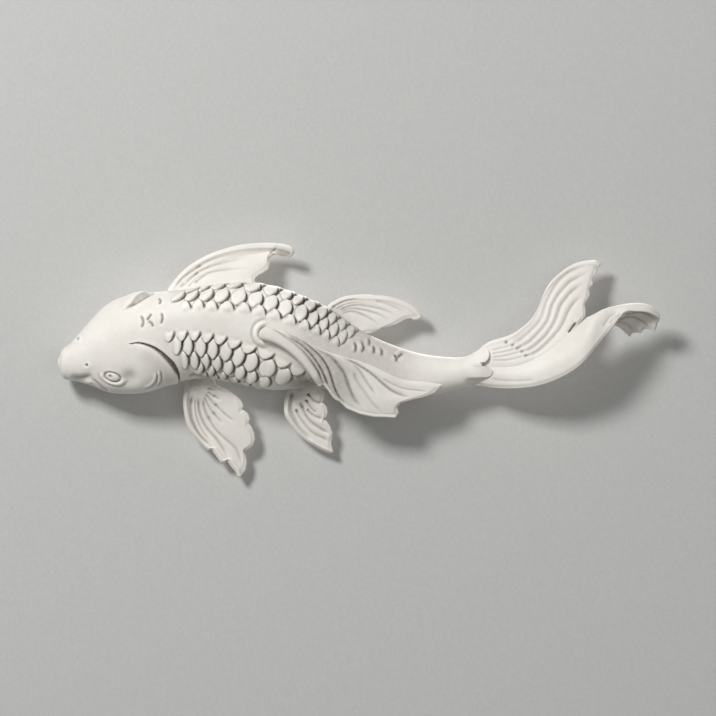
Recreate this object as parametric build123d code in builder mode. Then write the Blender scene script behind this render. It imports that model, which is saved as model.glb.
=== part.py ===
"""A koi, seen from above, cast to hang flat on a wall.

Millimetres. X runs from head to tail, Z is up the wall and -Y comes out of the wall. The origin is the middle
between the two keyholes, on the flat back. "Depth" below is the distance out from that flat back.
"""

import os

from build123d import *

os.makedirs("parts", exist_ok=True)

# Casting
WALL = 7.0
HOLLOW_START = -146.0
HOLLOW_END = 134.0
FULLNESS = 0.58

# Face: the gill cover's edge, the eye and the nostrils, in X and Z on the skin
GILL_PATH = ((-107, -8.5), (-99, -5.7), (-90, -7.5), (-81, -12.5), (-72, -20), (-65, -29), (-60.5, -39))
GILL_GROOVE_RADIUS = 2.2
EYE_PLACE = (-127, -41)
EYE_RADIUS = 6.0
EYE_SINK = 2.5
NOSTRIL_PLACES = ((-153, -29), (-161, -2.5))
NOSTRIL_RADIUS = 2.0

# Carved scales: round caps that stand out of the skin, at these places in X and Z, in rows from the back down to the
# belly. The first row follows the upper edge of the body.
SCALE_RADIUS = 12.0
SCALE_RISE = 2.2
SCALE_FROM_EDGE = 3.0
EDGE_SCALES = (-65, -51, -39, -24, -7, 12, 28, 43, 55, 67, 78, 88)
UPPER_SCALES = (
    (-64, 37), (-50, 38), (-36, 39), (-20, 39), (-3, 37), (14, 34),
    (29, 31), (44, 26), (58, 22), (70, 16), (80, 11), (90, 6),
    (-57, 28), (-44, 29), (-30, 28), (-14, 27), (2, 26), (18, 23),
    (33, 19), (48, 14), (61, 10), (74, 4), (84, -1), (94, -6),
)
LOWER_SCALES = (
    (-60, 3), (-47, 3), (-34, 1), (-20, -1), (-6, -5), (10, -10), (26, -16), (44, -25),
    (-54, -10), (-41, -11), (-29, -13), (-16, -15), (-3, -20), (10, -26), (27, -33), (42, -40),
    (-47, -25), (-36, -26), (-25, -28), (-13, -32), (-2, -36), (10, -41), (23, -46),
)

# Back plate and the step it lies in
PLATE_THICKNESS = 8.0
PLATE_START = -148.0
PLATE_END = 136.0
RIM_WIDTH = 5.0
LEDGE_WIDTH = 4.0
PLATE_CLEARANCE = 0.3

# Screws that hold the back plate
POST_RADIUS = 6.0
POST_FROM_PLATE_EDGE = 8.0
SCREW_PAST_LEFT_HANGER = 22.0
SCREW_PAST_RIGHT_HANGER = 8.0
SCREW_RADIUS = 1.75
SCREW_HEAD_RADIUS = 3.5
SCREW_HEAD_DEPTH = 2.0
PLATE_SCREW_LENGTH = 20.0
SCREW_CLEARANCE = 0.25
THREAD_FIT = 0.05

# Keyhole hangers
KEYHOLE_SPACING = 120.0
KEYHOLE_RADIUS = 5.0
KEYHOLE_SLOT_WIDTH = 5.0
KEYHOLE_SLOT_RISE = 7.0
HANGER_WIDTH = 44.0
HANGER_BELOW = 9.0
HANGER_ABOVE = 14.0
HANGER_THICKNESS = 2.0
HANGER_CORNER = 3.0
HANGER_CLEARANCE = 0.2
HEAD_WINDOW_RADIUS = 6.5
HANGER_SCREW_OFFSET = 15.5
HANGER_SCREW_LENGTH = 7.0
HANGER_SCREW_RADIUS = 1.5
HANGER_SCREW_HEAD_RADIUS = 2.8
HANGER_SCREW_HEAD_DEPTH = 1.4

# Rubber pads
BUMPER_RADIUS = 7.0
BUMPER_STAND_OFF = 2.0
BUMPER_SINK = 1.0
BUMPER_CLEARANCE = 0.2
BUMPER_PLACES = ((-124.0, -8.0), (-50.0, -17.0), (45.0, -26.0), (112.0, -24.0))

# Fins
DOWEL_RADIUS = 1.5
DOWEL_LENGTH = 24.0
DOWEL_CLEARANCE = 0.1
DORSAL_DOWEL_LENGTH = 16.0
DORSAL_DOWEL_RISE = 2.0

# The fish from nose to tail stem. One row per cross-section:
# X, top edge, bottom edge, ridge of the back, depth of the ridge, depth of the widest line, depth of the back,
# how far the back is set in from the edges.
BODY_ROWS = (
    (-181.5, -22.0, -32.0, -27.0, 30.0, 26.0, 22.0, 1.5),
    (-179.5, -16.5, -38.0, -26.5, 35.0, 25.0, 15.0, 3.0),
    (-174.0, -10.5, -43.5, -24.5, 40.0, 24.0, 7.0, 5.0),
    (-164.0, -1.0, -46.0, -20.0, 45.0, 24.0, -4.0, 8.0),
    (-152.0, 13.0, -48.5, -14.0, 51.0, 26.0, -4.0, 10.0),
    (-136.0, 29.5, -55.0, -7.0, 58.0, 29.0, -4.0, 12.0),
    (-116.0, 39.5, -58.0, 0.0, 64.0, 31.0, -4.0, 13.0),
    (-94.0, 43.5, -56.5, 8.0, 69.0, 33.0, -4.0, 13.0),
    (-68.0, 45.0, -48.0, 15.0, 72.0, 34.0, -4.0, 13.0),
    (-35.0, 50.0, -42.5, 17.0, 74.0, 34.0, -4.0, 13.0),
    (0.0, 53.5, -48.0, 13.0, 74.0, 34.0, -4.0, 13.0),
    (32.0, 50.5, -54.0, 4.0, 71.0, 33.0, -4.0, 13.0),
    (63.0, 40.0, -52.5, -7.0, 66.0, 31.0, -4.0, 12.0),
    (95.0, 24.5, -54.5, -18.0, 60.0, 29.0, -4.0, 11.0),
    (125.0, 4.0, -59.0, -29.0, 54.0, 27.0, -4.0, 9.0),
    (152.0, -8.5, -62.5, -36.0, 49.0, 25.0, -3.0, 8.0),
    (180.0, -17.5, -61.0, -40.0, 45.0, 24.0, 2.0, 6.0),
    (206.0, -21.0, -56.5, -39.0, 43.0, 26.0, 9.0, 5.0),
    (228.0, -20.0, -51.0, -35.0, 43.0, 29.0, 15.0, 4.0),
    (249.0, -9.0, -50.5, -28.0, 44.0, 32.0, 20.0, 4.0),
)

# Fins, root to tip. One row per cross-section: leading edge (X, Z, depth), trailing edge (X, Z, depth), swell of
# the middle, thickness at the edges, thickness in the middle.
LEFT_PECTORAL_ROWS = (
    ((-48, -36, 30), (-26, -36, 32), 0.5, 8.0, 10.0),
    ((-54, -51, 26), (-18, -50, 28), 1.0, 6.5, 9.0),
    ((-55.5, -66, 22), (0, -66, 24), 2.0, 5.0, 7.5),
    ((-53.5, -82, 19), (8, -82, 20), 3.0, 4.5, 6.5),
    ((-47, -97, 17), (13, -101, 16), 3.0, 4.0, 6.0),
    ((-34, -113, 15), (10, -113, 13), 2.5, 4.0, 5.5),
    ((-18, -126, 13), (6, -126, 11), 1.5, 3.5, 5.0),
    ((-4, -139.5, 11), (1, -139.5, 10), 0.3, 3.0, 3.5),
)
LEFT_PELVIC_ROWS = (
    ((56, -42, 28), (78, -42, 30), 0.5, 8.0, 10.0),
    ((50, -54, 25), (82, -53, 27), 1.0, 6.5, 9.0),
    ((45, -68, 21), (86, -68, 23), 2.0, 5.0, 7.0),
    ((48, -83, 18), (89, -81, 19), 2.5, 4.0, 6.0),
    ((58, -97, 15), (92, -94, 15), 2.0, 4.0, 5.5),
    ((74, -109, 12), (92, -106, 12), 1.0, 3.5, 4.5),
    ((88, -116.5, 10), (92, -115, 10), 0.3, 3.0, 3.5),
)
RIGHT_PECTORAL_ROWS = (
    ((-70, 46, 32), (-67, 36, 34), 0.5, 7.0, 9.0),
    ((-60, 63, 30), (-58, 36, 34), 1.5, 6.0, 9.0),
    ((-45, 75, 28), (-44, 36, 34), 2.5, 5.5, 9.0),
    ((-28, 84, 26), (-26, 38, 34), 3.0, 5.0, 8.5),
    ((-8, 89, 25), (-6, 41, 34), 3.0, 4.5, 8.0),
    ((10, 91, 24), (11, 44, 34), 2.5, 4.5, 7.5),
    ((22, 91, 24), (22, 56, 31), 2.0, 4.0, 6.5),
    ((32, 90.5, 24), (32, 68, 27), 1.5, 4.0, 5.5),
    ((42, 90, 25), (40, 79, 24), 1.0, 4.0, 5.0),
    ((52.5, 84, 25), (50, 80, 22), 0.3, 3.5, 4.0),
)
RIGHT_PELVIC_ROWS = (
    ((88, 31, 27), (90, 20, 29), 0.5, 7.0, 9.0),
    ((98, 36, 26), (99, 12, 28), 1.0, 6.0, 9.0),
    ((110, 39, 25), (110, 4, 27), 1.5, 5.5, 8.5),
    ((122, 40.5, 24), (122, -4, 26), 2.0, 5.0, 8.0),
    ((136, 40.5, 23), (136, 5, 23), 2.0, 4.5, 6.5),
    ((150, 39, 22), (150, 11, 21), 2.0, 4.0, 5.5),
    ((162, 35.5, 21), (162, 15.5, 20), 1.5, 4.0, 5.0),
    ((173, 30, 20), (173, 17, 19), 1.0, 3.5, 4.5),
    ((180.5, 23, 19), (180, 18.5, 19), 0.3, 3.0, 3.5),
)
DORSAL_ROWS = (
    ((20, 1, 73), (24, 8, 73), 1.5, 5.0, 8.0),
    ((36, -4, 72), (41, 6, 71.5), 2.0, 7.0, 9.0),
    ((50, -14, 70), (60, -3, 68.5), 2.0, 8.0, 10.0),
    ((63, -27, 65), (82, -15, 64), 3.0, 8.0, 10.0),
    ((74, -41, 58), (105, -22, 60), 5.0, 8.0, 10.0),
    ((90, -57, 48), (122, -30, 56), 6.0, 7.0, 9.0),
    ((112, -75, 42), (142, -43, 50), 6.0, 5.0, 8.0),
    ((138, -81, 40), (162, -46, 47), 5.0, 4.5, 7.0),
    ((160, -76, 39), (182, -46, 46), 4.0, 4.0, 6.0),
    ((180, -61, 40), (196, -47, 45), 2.0, 4.0, 5.0),
    ((197, -53, 42), (201, -48.5, 44), 0.3, 3.0, 3.5),
)
TAIL_UPPER_ROWS = (
    ((236, -14, 36), (238, -38, 37), 0.5, 6.0, 9.0),
    ((247, -8, 39), (249, -36, 41), 1.0, 6.0, 9.0),
    ((262, -4.5, 40), (272, -32, 46), 2.0, 5.5, 8.0),
    ((278, 2, 38), (295, -26, 48), 2.5, 5.0, 7.0),
    ((292, 12, 35), (316, -14, 46), 3.0, 5.0, 6.5),
    ((302, 25, 31), (332, 0, 41), 3.0, 4.5, 6.0),
    ((309, 39, 27), (343, 16, 34), 3.0, 4.0, 6.0),
    ((318, 53, 24), (347, 33, 29), 2.5, 4.0, 5.5),
    ((333, 65, 22), (352, 50, 25), 1.5, 3.5, 5.0),
    ((348, 72.5, 20), (357, 64, 22), 0.8, 3.5, 4.5),
    ((357, 74, 19), (360.5, 71.5, 20), 0.3, 3.0, 3.5),
)
TAIL_LOWER_ROWS = (
    ((234, -49, 34), (238, -26, 38), 0.5, 6.0, 9.0),
    ((243, -50, 37), (249, -24, 42), 1.0, 6.0, 9.0),
    ((267, -51.5, 44), (271, -26, 46), 2.0, 5.5, 8.0),
    ((295, -50, 52), (294, -21, 48), 3.0, 5.0, 7.0),
    ((322, -40, 58), (314, -10, 48), 3.0, 5.0, 6.5),
    ((343, -25, 62), (331, 4, 48), 3.5, 4.5, 6.5),
    ((362, -2, 62), (348, 18, 48), 5.0, 4.5, 6.5),
    ((374, 12, 60), (363, 20, 42), 7.0, 4.5, 6.0),
    ((383, 24.5, 57), (379, 9, 36), 9.0, 4.0, 6.0),
    ((394, 26.5, 54), (391, 3, 32), 9.0, 4.0, 5.5),
    ((407, 25.5, 50), (405, 6, 31), 8.0, 4.0, 5.0),
    ((417, 20, 45), (416, 11, 34), 4.0, 3.0, 4.0),
)
# The lower lobe rolls over towards its tip, so its swell turns from outward to upward along these rows.
TAIL_LOWER_TURN = (0, 0, 0, 0, 0.1, 0.25, 0.6, 1.2, 2.5, 3.0, 3.0, 3.0)


def at(x, z, depth):
    """A point of the frame from its place on the wall and its depth."""
    return Vector(x, -depth, z)


def body_section(row, inset=0.0, back_inset=0.0):
    """One cross-section: two quarters of the back, two of the flanks and the flat underside."""
    x, top, bottom, ridge, deep, widest, back, set_in = row
    top, bottom, deep = top - inset, bottom + inset, deep - inset
    set_in = set_in + back_inset
    flank = widest - back
    rise = deep - widest
    with BuildSketch(Plane.YZ.offset(x)) as section:
        with BuildLine():
            Bezier(
                (-back, top - set_in),
                (-back - flank * 0.25, top - set_in * 0.45),
                (-widest + flank * 0.5, top),
                (-widest, top),
            )
            Bezier(
                (-widest, top),
                (-widest - rise * FULLNESS, top),
                (-deep, ridge + (top - ridge) * FULLNESS),
                (-deep, ridge),
            )
            Bezier(
                (-deep, ridge),
                (-deep, ridge + (bottom - ridge) * FULLNESS),
                (-widest - rise * FULLNESS, bottom),
                (-widest, bottom),
            )
            Bezier(
                (-widest, bottom),
                (-widest + flank * 0.5, bottom),
                (-back - flank * 0.25, bottom + set_in * 0.45),
                (-back, bottom + set_in),
            )
            Line((-back, bottom + set_in), (-back, top - set_in))
        make_face()
    return section.sketch


def skin_depth(x, z):
    """Depth of the fish's skin, on the side that faces out, at a place on the wall."""
    _, top, bottom, ridge, deep, widest, _, _ = row_at(x)
    edge = top if z > ridge else bottom
    inner = ridge + (edge - ridge) * FULLNESS
    outer = widest + (deep - widest) * FULLNESS
    low, high = 0.0, 1.0
    for _ in range(40):
        t = (low + high) / 2
        s = 1 - t
        height = s**3 * edge + 3 * s * s * t * edge + 3 * s * t * t * inner + t**3 * ridge
        if abs(height - ridge) > abs(z - ridge):
            low = t
        else:
            high = t
    return s**3 * widest + 3 * s * s * t * outer + 3 * s * t * t * deep + t**3 * deep


def on_skin(x, z, sink=0.0):
    """A point on the skin, or below it."""
    return at(x, z, skin_depth(x, z) - sink)


def scale_middle(x, z):
    """Middle of the sphere whose cap makes the scale at a place on the wall."""
    step = SCALE_RISE / 4
    along = (skin_depth(x + step, z) - skin_depth(x - step, z)) / (2 * step)
    up = (skin_depth(x, z + step) - skin_depth(x, z - step)) / (2 * step)
    return on_skin(x, z) + Vector(along, 1, up).normalized() * (SCALE_RADIUS - SCALE_RISE)


def scale_middles():
    """The middles of all the scales' spheres."""
    edge_places = [(x, row_at(x)[1] - SCALE_FROM_EDGE) for x in EDGE_SCALES]
    return [scale_middle(x, z) for x, z in (*edge_places, *UPPER_SCALES, *LOWER_SCALES)]


def row_at(x):
    """The body's row at any X, between the two rows beside it."""
    for low, high in zip(BODY_ROWS, BODY_ROWS[1:]):
        if low[0] <= x <= high[0]:
            share = (x - low[0]) / (high[0] - low[0])
            return tuple(a + (b - a) * share for a, b in zip(low, high))
    raise ValueError("X is off the body")


def rows_between(start, end):
    """The body's rows from one X to another, with a row made at each end."""
    return [row_at(start)] + [row for row in BODY_ROWS if start < row[0] < end] + [row_at(end)]


def plate_edges(x, grow=0.0):
    """Top and bottom edge of the back plate at X."""
    row = row_at(x)
    return row[1] - row[7] - RIM_WIDTH + grow, row[2] + row[7] + RIM_WIDTH - grow


def plate_outline(grow=0.0):
    """The back plate's outline on the flat back, grown by the clearance for the step it lies in."""
    xs = [row[0] for row in rows_between(PLATE_START, PLATE_END)]
    xs[0] -= grow
    xs[-1] += grow
    tops = [(x, plate_edges(x, grow)[0]) for x in xs]
    bottoms = [(x, plate_edges(x, grow)[1]) for x in xs]
    with BuildSketch(Plane.XZ) as outline:
        with BuildLine():
            Spline(*tops)
            Line(tops[-1], bottoms[-1])
            Spline(*reversed(bottoms))
            Line(bottoms[0], tops[0])
        make_face()
    return outline.sketch


def fin_section(lead, trail, swell, edge, middle, turn=0.0):
    """One cross-section of a fin: a thin, swelled strip from the leading edge to the trailing edge."""
    start = at(*lead)
    chord = at(*trail) - start
    outward = Vector(0, -1, turn)
    across = chord.normalized()
    normal = across.cross(outward).normalized()
    plane = Plane(origin=start, x_dir=across, z_dir=normal)
    length = chord.length
    half_edge = edge / 2
    front = 2 * (swell + middle / 2) - half_edge
    rear = 2 * (swell - middle / 2) + half_edge
    with BuildSketch(plane) as section:
        with BuildLine():
            Bezier((0, half_edge), (length / 2, front), (length, half_edge))
            Line((length, half_edge), (length, -half_edge))
            Bezier((length, -half_edge), (length / 2, rear), (0, -half_edge))
            Line((0, -half_edge), (0, half_edge))
        make_face()
    return section.sketch


def fin_sections(rows, turns=None):
    """The cross-sections of one fin from its rows."""
    turns = turns or [0.0] * len(rows)
    return [fin_section(*row, turn) for row, turn in zip(rows, turns)]


def on_chord(row, share):
    """A point part of the way from the leading edge to the trailing edge."""
    lead, trail = at(*row[0]), at(*row[1])
    return lead + (trail - lead) * share


def dowel_along(inner, outer):
    """The plane at a dowel's inner end, looking along the dowel, and the dowel's length."""
    return Plane(origin=inner, z_dir=outer - inner), DOWEL_LENGTH


def across_rows(rows, share):
    """A dowel that runs from inside the body out into the fin, at one share of the chord."""
    return dowel_along(on_chord(rows[0], share), on_chord(rows[2], share))


def along_chord(row):
    """A dowel that runs along one chord, from its root end in the body."""
    return dowel_along(at(*row[1]), at(*row[0]))


def straight_in(row):
    """A dowel that runs straight in from the middle of one chord of the fin that lies on the back."""
    outer = on_chord(row, 0.5) + Vector(0, -DORSAL_DOWEL_RISE, 0)
    inner = outer + Vector(0, DORSAL_DOWEL_LENGTH, 0)
    return Plane(origin=inner, z_dir=outer - inner), DORSAL_DOWEL_LENGTH


def plate_screw_places():
    """The six places, in X and Z, where the back plate is screwed to the posts."""
    hanger_reach = KEYHOLE_SPACING / 2 + HANGER_WIDTH / 2
    places = []
    for x in (-hanger_reach - SCREW_PAST_LEFT_HANGER, 0.0, hanger_reach + SCREW_PAST_RIGHT_HANGER):
        top, bottom = plate_edges(x)
        places.append((x, top - POST_FROM_PLATE_EDGE))
        places.append((x, bottom + POST_FROM_PLATE_EDGE))
    return places


def hanger_outline(centre, grow=0.0):
    """The hanger's rounded rectangle around one keyhole."""
    height = HANGER_BELOW + HANGER_ABOVE
    with BuildSketch(Plane.XZ) as outline:
        with Locations((centre, HANGER_ABOVE - height / 2)):
            RectangleRounded(HANGER_WIDTH + 2 * grow, height + 2 * grow, HANGER_CORNER + grow)
    return outline.sketch


def keyhole_outline(centre, radius, slot_width):
    """Round hole with a slot above it, where the screw's shank comes to rest."""
    with BuildSketch(Plane.XZ) as outline:
        with Locations((centre, 0)):
            Circle(radius)
        with Locations((centre, KEYHOLE_SLOT_RISE / 2)):
            Rectangle(slot_width, KEYHOLE_SLOT_RISE)
        with Locations((centre, KEYHOLE_SLOT_RISE)):
            Circle(slot_width / 2)
    return outline.sketch


def hanger_screw_places(centre):
    """The two screw places of one hanger, left and right of its keyhole."""
    return [(centre - HANGER_SCREW_OFFSET, 0.0), (centre + HANGER_SCREW_OFFSET, 0.0)]


DEEPEST = max(row[4] for row in BODY_ROWS)
KEYHOLE_X = (-KEYHOLE_SPACING / 2, KEYHOLE_SPACING / 2)
HANGER_SCREWS = hanger_screw_places(KEYHOLE_X[0]) + hanger_screw_places(KEYHOLE_X[1])
PLATE_SCREWS = plate_screw_places()

DOWELS = {
    "left_pectoral": [across_rows(LEFT_PECTORAL_ROWS, 0.35), across_rows(LEFT_PECTORAL_ROWS, 0.65)],
    "left_pelvic": [across_rows(LEFT_PELVIC_ROWS, 0.35), across_rows(LEFT_PELVIC_ROWS, 0.65)],
    "right_pectoral": [along_chord(RIGHT_PECTORAL_ROWS[2]), along_chord(RIGHT_PECTORAL_ROWS[4])],
    "right_pelvic": [along_chord(RIGHT_PELVIC_ROWS[2]), along_chord(RIGHT_PELVIC_ROWS[3])],
    "dorsal": [straight_in(DORSAL_ROWS[1]), straight_in(DORSAL_ROWS[2]), straight_in(DORSAL_ROWS[3])],
    "tail": [across_rows(TAIL_UPPER_ROWS, 0.5), across_rows(TAIL_LOWER_ROWS, 0.4)],
}


def dowel_solids(dowels, grow=0.0):
    """The dowels as plain rods, or as the holes for them when grown."""
    rods = []
    for plane, length in dowels:
        with BuildPart(plane) as rod:
            Cylinder(DOWEL_RADIUS + grow, length, align=(Align.CENTER, Align.CENTER, Align.MIN))
        rods.append(rod.part)
    return rods


# The whole fish with its scales but without its fins, before it is hollowed
with BuildPart() as fish_core:
    loft(sections=[body_section(row) for row in BODY_ROWS])
    with Locations(*scale_middles()):
        Sphere(SCALE_RADIUS)
    split(bisect_by=Plane.XZ, keep=Keep.TOP)

# Posts inside the hollow, from the back plate to the skin
with BuildPart() as screw_posts:
    with BuildSketch(Plane.XZ.offset(PLATE_THICKNESS)):
        with Locations(*PLATE_SCREWS):
            Circle(POST_RADIUS)
    extrude(amount=DEEPEST)
    add(fish_core.part, mode=Mode.INTERSECT)

# Hollow casting: the fish less its inside, the plate's step and the holes
with BuildPart() as body_shell:
    add(fish_core.part)
    hollow_rows = rows_between(HOLLOW_START, HOLLOW_END)
    loft(
        sections=[body_section(row, WALL, RIM_WIDTH + LEDGE_WIDTH - WALL) for row in hollow_rows],
        mode=Mode.SUBTRACT,
    )
    extrude(plate_outline(PLATE_CLEARANCE), amount=PLATE_THICKNESS, mode=Mode.SUBTRACT)
    add(screw_posts.part)
    with BuildSketch(Plane.XZ.offset(PLATE_THICKNESS)):
        with Locations(*PLATE_SCREWS):
            Circle(SCREW_RADIUS + THREAD_FIT)
    extrude(amount=PLATE_SCREW_LENGTH - PLATE_THICKNESS, mode=Mode.SUBTRACT)
    with BuildLine() as gill_edge:
        Spline(*[on_skin(x, z) for x, z in GILL_PATH])
    with BuildSketch(Plane(gill_edge.line @ 0, z_dir=gill_edge.line % 0)):
        Circle(GILL_GROOVE_RADIUS)
    sweep(path=gill_edge.line, mode=Mode.SUBTRACT)
    with Locations(on_skin(*EYE_PLACE, EYE_SINK)):
        Sphere(EYE_RADIUS)
    with Locations(*[on_skin(x, z) for x, z in NOSTRIL_PLACES]):
        Sphere(NOSTRIL_RADIUS, mode=Mode.SUBTRACT)
    for dowels in DOWELS.values():
        add(dowel_solids(dowels, DOWEL_CLEARANCE), mode=Mode.SUBTRACT)
body_shell.part.label = "body_shell"

# Back plate with the pockets for the hangers and pads
with BuildPart() as back_plate:
    extrude(plate_outline(), amount=PLATE_THICKNESS)
    for centre in KEYHOLE_X:
        extrude(hanger_outline(centre, HANGER_CLEARANCE), amount=HANGER_THICKNESS, mode=Mode.SUBTRACT)
        extrude(
            keyhole_outline(centre, HEAD_WINDOW_RADIUS, 2 * HEAD_WINDOW_RADIUS),
            amount=PLATE_THICKNESS,
            mode=Mode.SUBTRACT,
        )
    with BuildSketch(Plane.XZ.offset(HANGER_THICKNESS)):
        with Locations(*HANGER_SCREWS):
            Circle(HANGER_SCREW_RADIUS + THREAD_FIT)
    extrude(amount=HANGER_SCREW_LENGTH - HANGER_THICKNESS, mode=Mode.SUBTRACT)
    with Locations(*[Plane.XZ * Location((x, z, 0)) for x, z in PLATE_SCREWS]):
        Cylinder(SCREW_RADIUS + SCREW_CLEARANCE, 2 * PLATE_THICKNESS, mode=Mode.SUBTRACT)
        Cone(
            SCREW_HEAD_RADIUS,
            SCREW_RADIUS,
            SCREW_HEAD_DEPTH,
            align=(Align.CENTER, Align.CENTER, Align.MIN),
            mode=Mode.SUBTRACT,
        )
    with BuildSketch(Plane.XZ):
        with Locations(*BUMPER_PLACES):
            Circle(BUMPER_RADIUS + BUMPER_CLEARANCE)
    extrude(amount=BUMPER_SINK, mode=Mode.SUBTRACT)
back_plate.part.label = "back_plate"

# Fins: each is cut to lie against the body and drilled for its dowels
with BuildPart() as left_pectoral_fin:
    loft(sections=fin_sections(LEFT_PECTORAL_ROWS))
    add(fish_core.part, mode=Mode.SUBTRACT)
    add(dowel_solids(DOWELS["left_pectoral"], DOWEL_CLEARANCE), mode=Mode.SUBTRACT)
left_pectoral_fin.part.label = "left_pectoral_fin"

with BuildPart() as left_pelvic_fin:
    loft(sections=fin_sections(LEFT_PELVIC_ROWS))
    add(fish_core.part, mode=Mode.SUBTRACT)
    add(dowel_solids(DOWELS["left_pelvic"], DOWEL_CLEARANCE), mode=Mode.SUBTRACT)
left_pelvic_fin.part.label = "left_pelvic_fin"

with BuildPart() as right_pectoral_fin:
    loft(sections=fin_sections(RIGHT_PECTORAL_ROWS))
    add(fish_core.part, mode=Mode.SUBTRACT)
    add(dowel_solids(DOWELS["right_pectoral"], DOWEL_CLEARANCE), mode=Mode.SUBTRACT)
right_pectoral_fin.part.label = "right_pectoral_fin"

with BuildPart() as right_pelvic_fin:
    loft(sections=fin_sections(RIGHT_PELVIC_ROWS))
    add(fish_core.part, mode=Mode.SUBTRACT)
    add(dowel_solids(DOWELS["right_pelvic"], DOWEL_CLEARANCE), mode=Mode.SUBTRACT)
right_pelvic_fin.part.label = "right_pelvic_fin"

with BuildPart() as dorsal_fin:
    loft(sections=fin_sections(DORSAL_ROWS))
    add(fish_core.part, mode=Mode.SUBTRACT)
    add(dowel_solids(DOWELS["dorsal"], DOWEL_CLEARANCE), mode=Mode.SUBTRACT)
dorsal_fin.part.label = "dorsal_fin"

with BuildPart() as tail_fin:
    loft(sections=fin_sections(TAIL_UPPER_ROWS))
    loft(sections=fin_sections(TAIL_LOWER_ROWS, TAIL_LOWER_TURN))
    add(fish_core.part, mode=Mode.SUBTRACT)
    add(dowel_solids(DOWELS["tail"], DOWEL_CLEARANCE), mode=Mode.SUBTRACT)
tail_fin.part.label = "tail_fin"

with BuildPart() as fin_dowels:
    for dowels in DOWELS.values():
        add(dowel_solids(dowels))
fin_dowels.part.label = "fin_dowels"

# Keyhole hangers and their screws
with BuildPart() as keyhole_hanger_left:
    extrude(hanger_outline(KEYHOLE_X[0]), amount=HANGER_THICKNESS)
    extrude(
        keyhole_outline(KEYHOLE_X[0], KEYHOLE_RADIUS, KEYHOLE_SLOT_WIDTH),
        amount=HANGER_THICKNESS,
        mode=Mode.SUBTRACT,
    )
    with Locations(*[Plane.XZ * Location((x, z, 0)) for x, z in HANGER_SCREWS[:2]]):
        Cylinder(HANGER_SCREW_RADIUS + THREAD_FIT, 4 * HANGER_THICKNESS, mode=Mode.SUBTRACT)
        Cone(
            HANGER_SCREW_HEAD_RADIUS,
            HANGER_SCREW_RADIUS,
            HANGER_SCREW_HEAD_DEPTH,
            align=(Align.CENTER, Align.CENTER, Align.MIN),
            mode=Mode.SUBTRACT,
        )
keyhole_hanger_left.part.label = "keyhole_hanger_left"

with BuildPart() as keyhole_hanger_right:
    with Locations((KEYHOLE_SPACING, 0, 0)):
        add(keyhole_hanger_left.part)
keyhole_hanger_right.part.label = "keyhole_hanger_right"

with BuildPart() as hanger_screws:
    with Locations(*[Plane.XZ * Location((x, z, 0)) for x, z in HANGER_SCREWS]):
        Cone(
            HANGER_SCREW_HEAD_RADIUS,
            HANGER_SCREW_RADIUS,
            HANGER_SCREW_HEAD_DEPTH,
            align=(Align.CENTER, Align.CENTER, Align.MIN),
        )
        Cylinder(HANGER_SCREW_RADIUS, HANGER_SCREW_LENGTH, align=(Align.CENTER, Align.CENTER, Align.MIN))
hanger_screws.part.label = "hanger_screws"

with BuildPart() as back_plate_screws:
    with Locations(*[Plane.XZ * Location((x, z, 0)) for x, z in PLATE_SCREWS]):
        Cone(
            SCREW_HEAD_RADIUS,
            SCREW_RADIUS,
            SCREW_HEAD_DEPTH,
            align=(Align.CENTER, Align.CENTER, Align.MIN),
        )
        Cylinder(SCREW_RADIUS, PLATE_SCREW_LENGTH, align=(Align.CENTER, Align.CENTER, Align.MIN))
back_plate_screws.part.label = "back_plate_screws"

with BuildPart() as wall_bumpers:
    with BuildSketch(Plane.XZ.offset(BUMPER_SINK)):
        with Locations(*BUMPER_PLACES):
            Circle(BUMPER_RADIUS)
    extrude(amount=-BUMPER_SINK - BUMPER_STAND_OFF)
wall_bumpers.part.label = "wall_bumpers"

PIECES = (
    body_shell,
    back_plate,
    left_pectoral_fin,
    left_pelvic_fin,
    right_pectoral_fin,
    right_pelvic_fin,
    dorsal_fin,
    tail_fin,
    fin_dowels,
    keyhole_hanger_left,
    keyhole_hanger_right,
    hanger_screws,
    back_plate_screws,
    wall_bumpers,
)
for piece in PIECES:
    export_step(piece.part, f"parts/{piece.part.label}.step")
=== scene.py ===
import math

import bmesh
import bpy
import numpy as np
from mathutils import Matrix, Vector


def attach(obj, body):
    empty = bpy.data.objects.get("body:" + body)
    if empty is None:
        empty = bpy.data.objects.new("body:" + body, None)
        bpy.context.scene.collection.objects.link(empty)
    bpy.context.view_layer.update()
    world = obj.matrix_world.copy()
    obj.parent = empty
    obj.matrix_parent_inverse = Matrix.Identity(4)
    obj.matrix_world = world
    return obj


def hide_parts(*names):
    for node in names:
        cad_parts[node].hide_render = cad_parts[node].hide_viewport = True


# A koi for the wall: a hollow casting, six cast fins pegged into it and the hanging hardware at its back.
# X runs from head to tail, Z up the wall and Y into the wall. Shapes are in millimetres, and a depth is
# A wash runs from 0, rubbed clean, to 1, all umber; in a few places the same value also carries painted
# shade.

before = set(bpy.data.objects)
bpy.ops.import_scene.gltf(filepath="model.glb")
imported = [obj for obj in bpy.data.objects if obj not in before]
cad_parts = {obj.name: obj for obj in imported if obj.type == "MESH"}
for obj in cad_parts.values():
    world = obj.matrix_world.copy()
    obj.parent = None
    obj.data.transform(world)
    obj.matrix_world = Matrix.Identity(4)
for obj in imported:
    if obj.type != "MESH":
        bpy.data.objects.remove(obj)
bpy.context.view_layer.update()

MM = 0.001
SHARP_ANGLE = 60.0
LINE_STEP = 3.0

# Wash that stays everywhere as a thin coat, how far from a fin's free edge it is rubbed off, and how it
# gathers in hollows: reach in cells, depth that would fill up and the most that stays
THIN_WASH = 0.12
RUBBED_EDGE = 2.5
GATHER_REACH = 4
GATHER_DEPTH = 2.0
GATHER_MOST = 0.7

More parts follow.
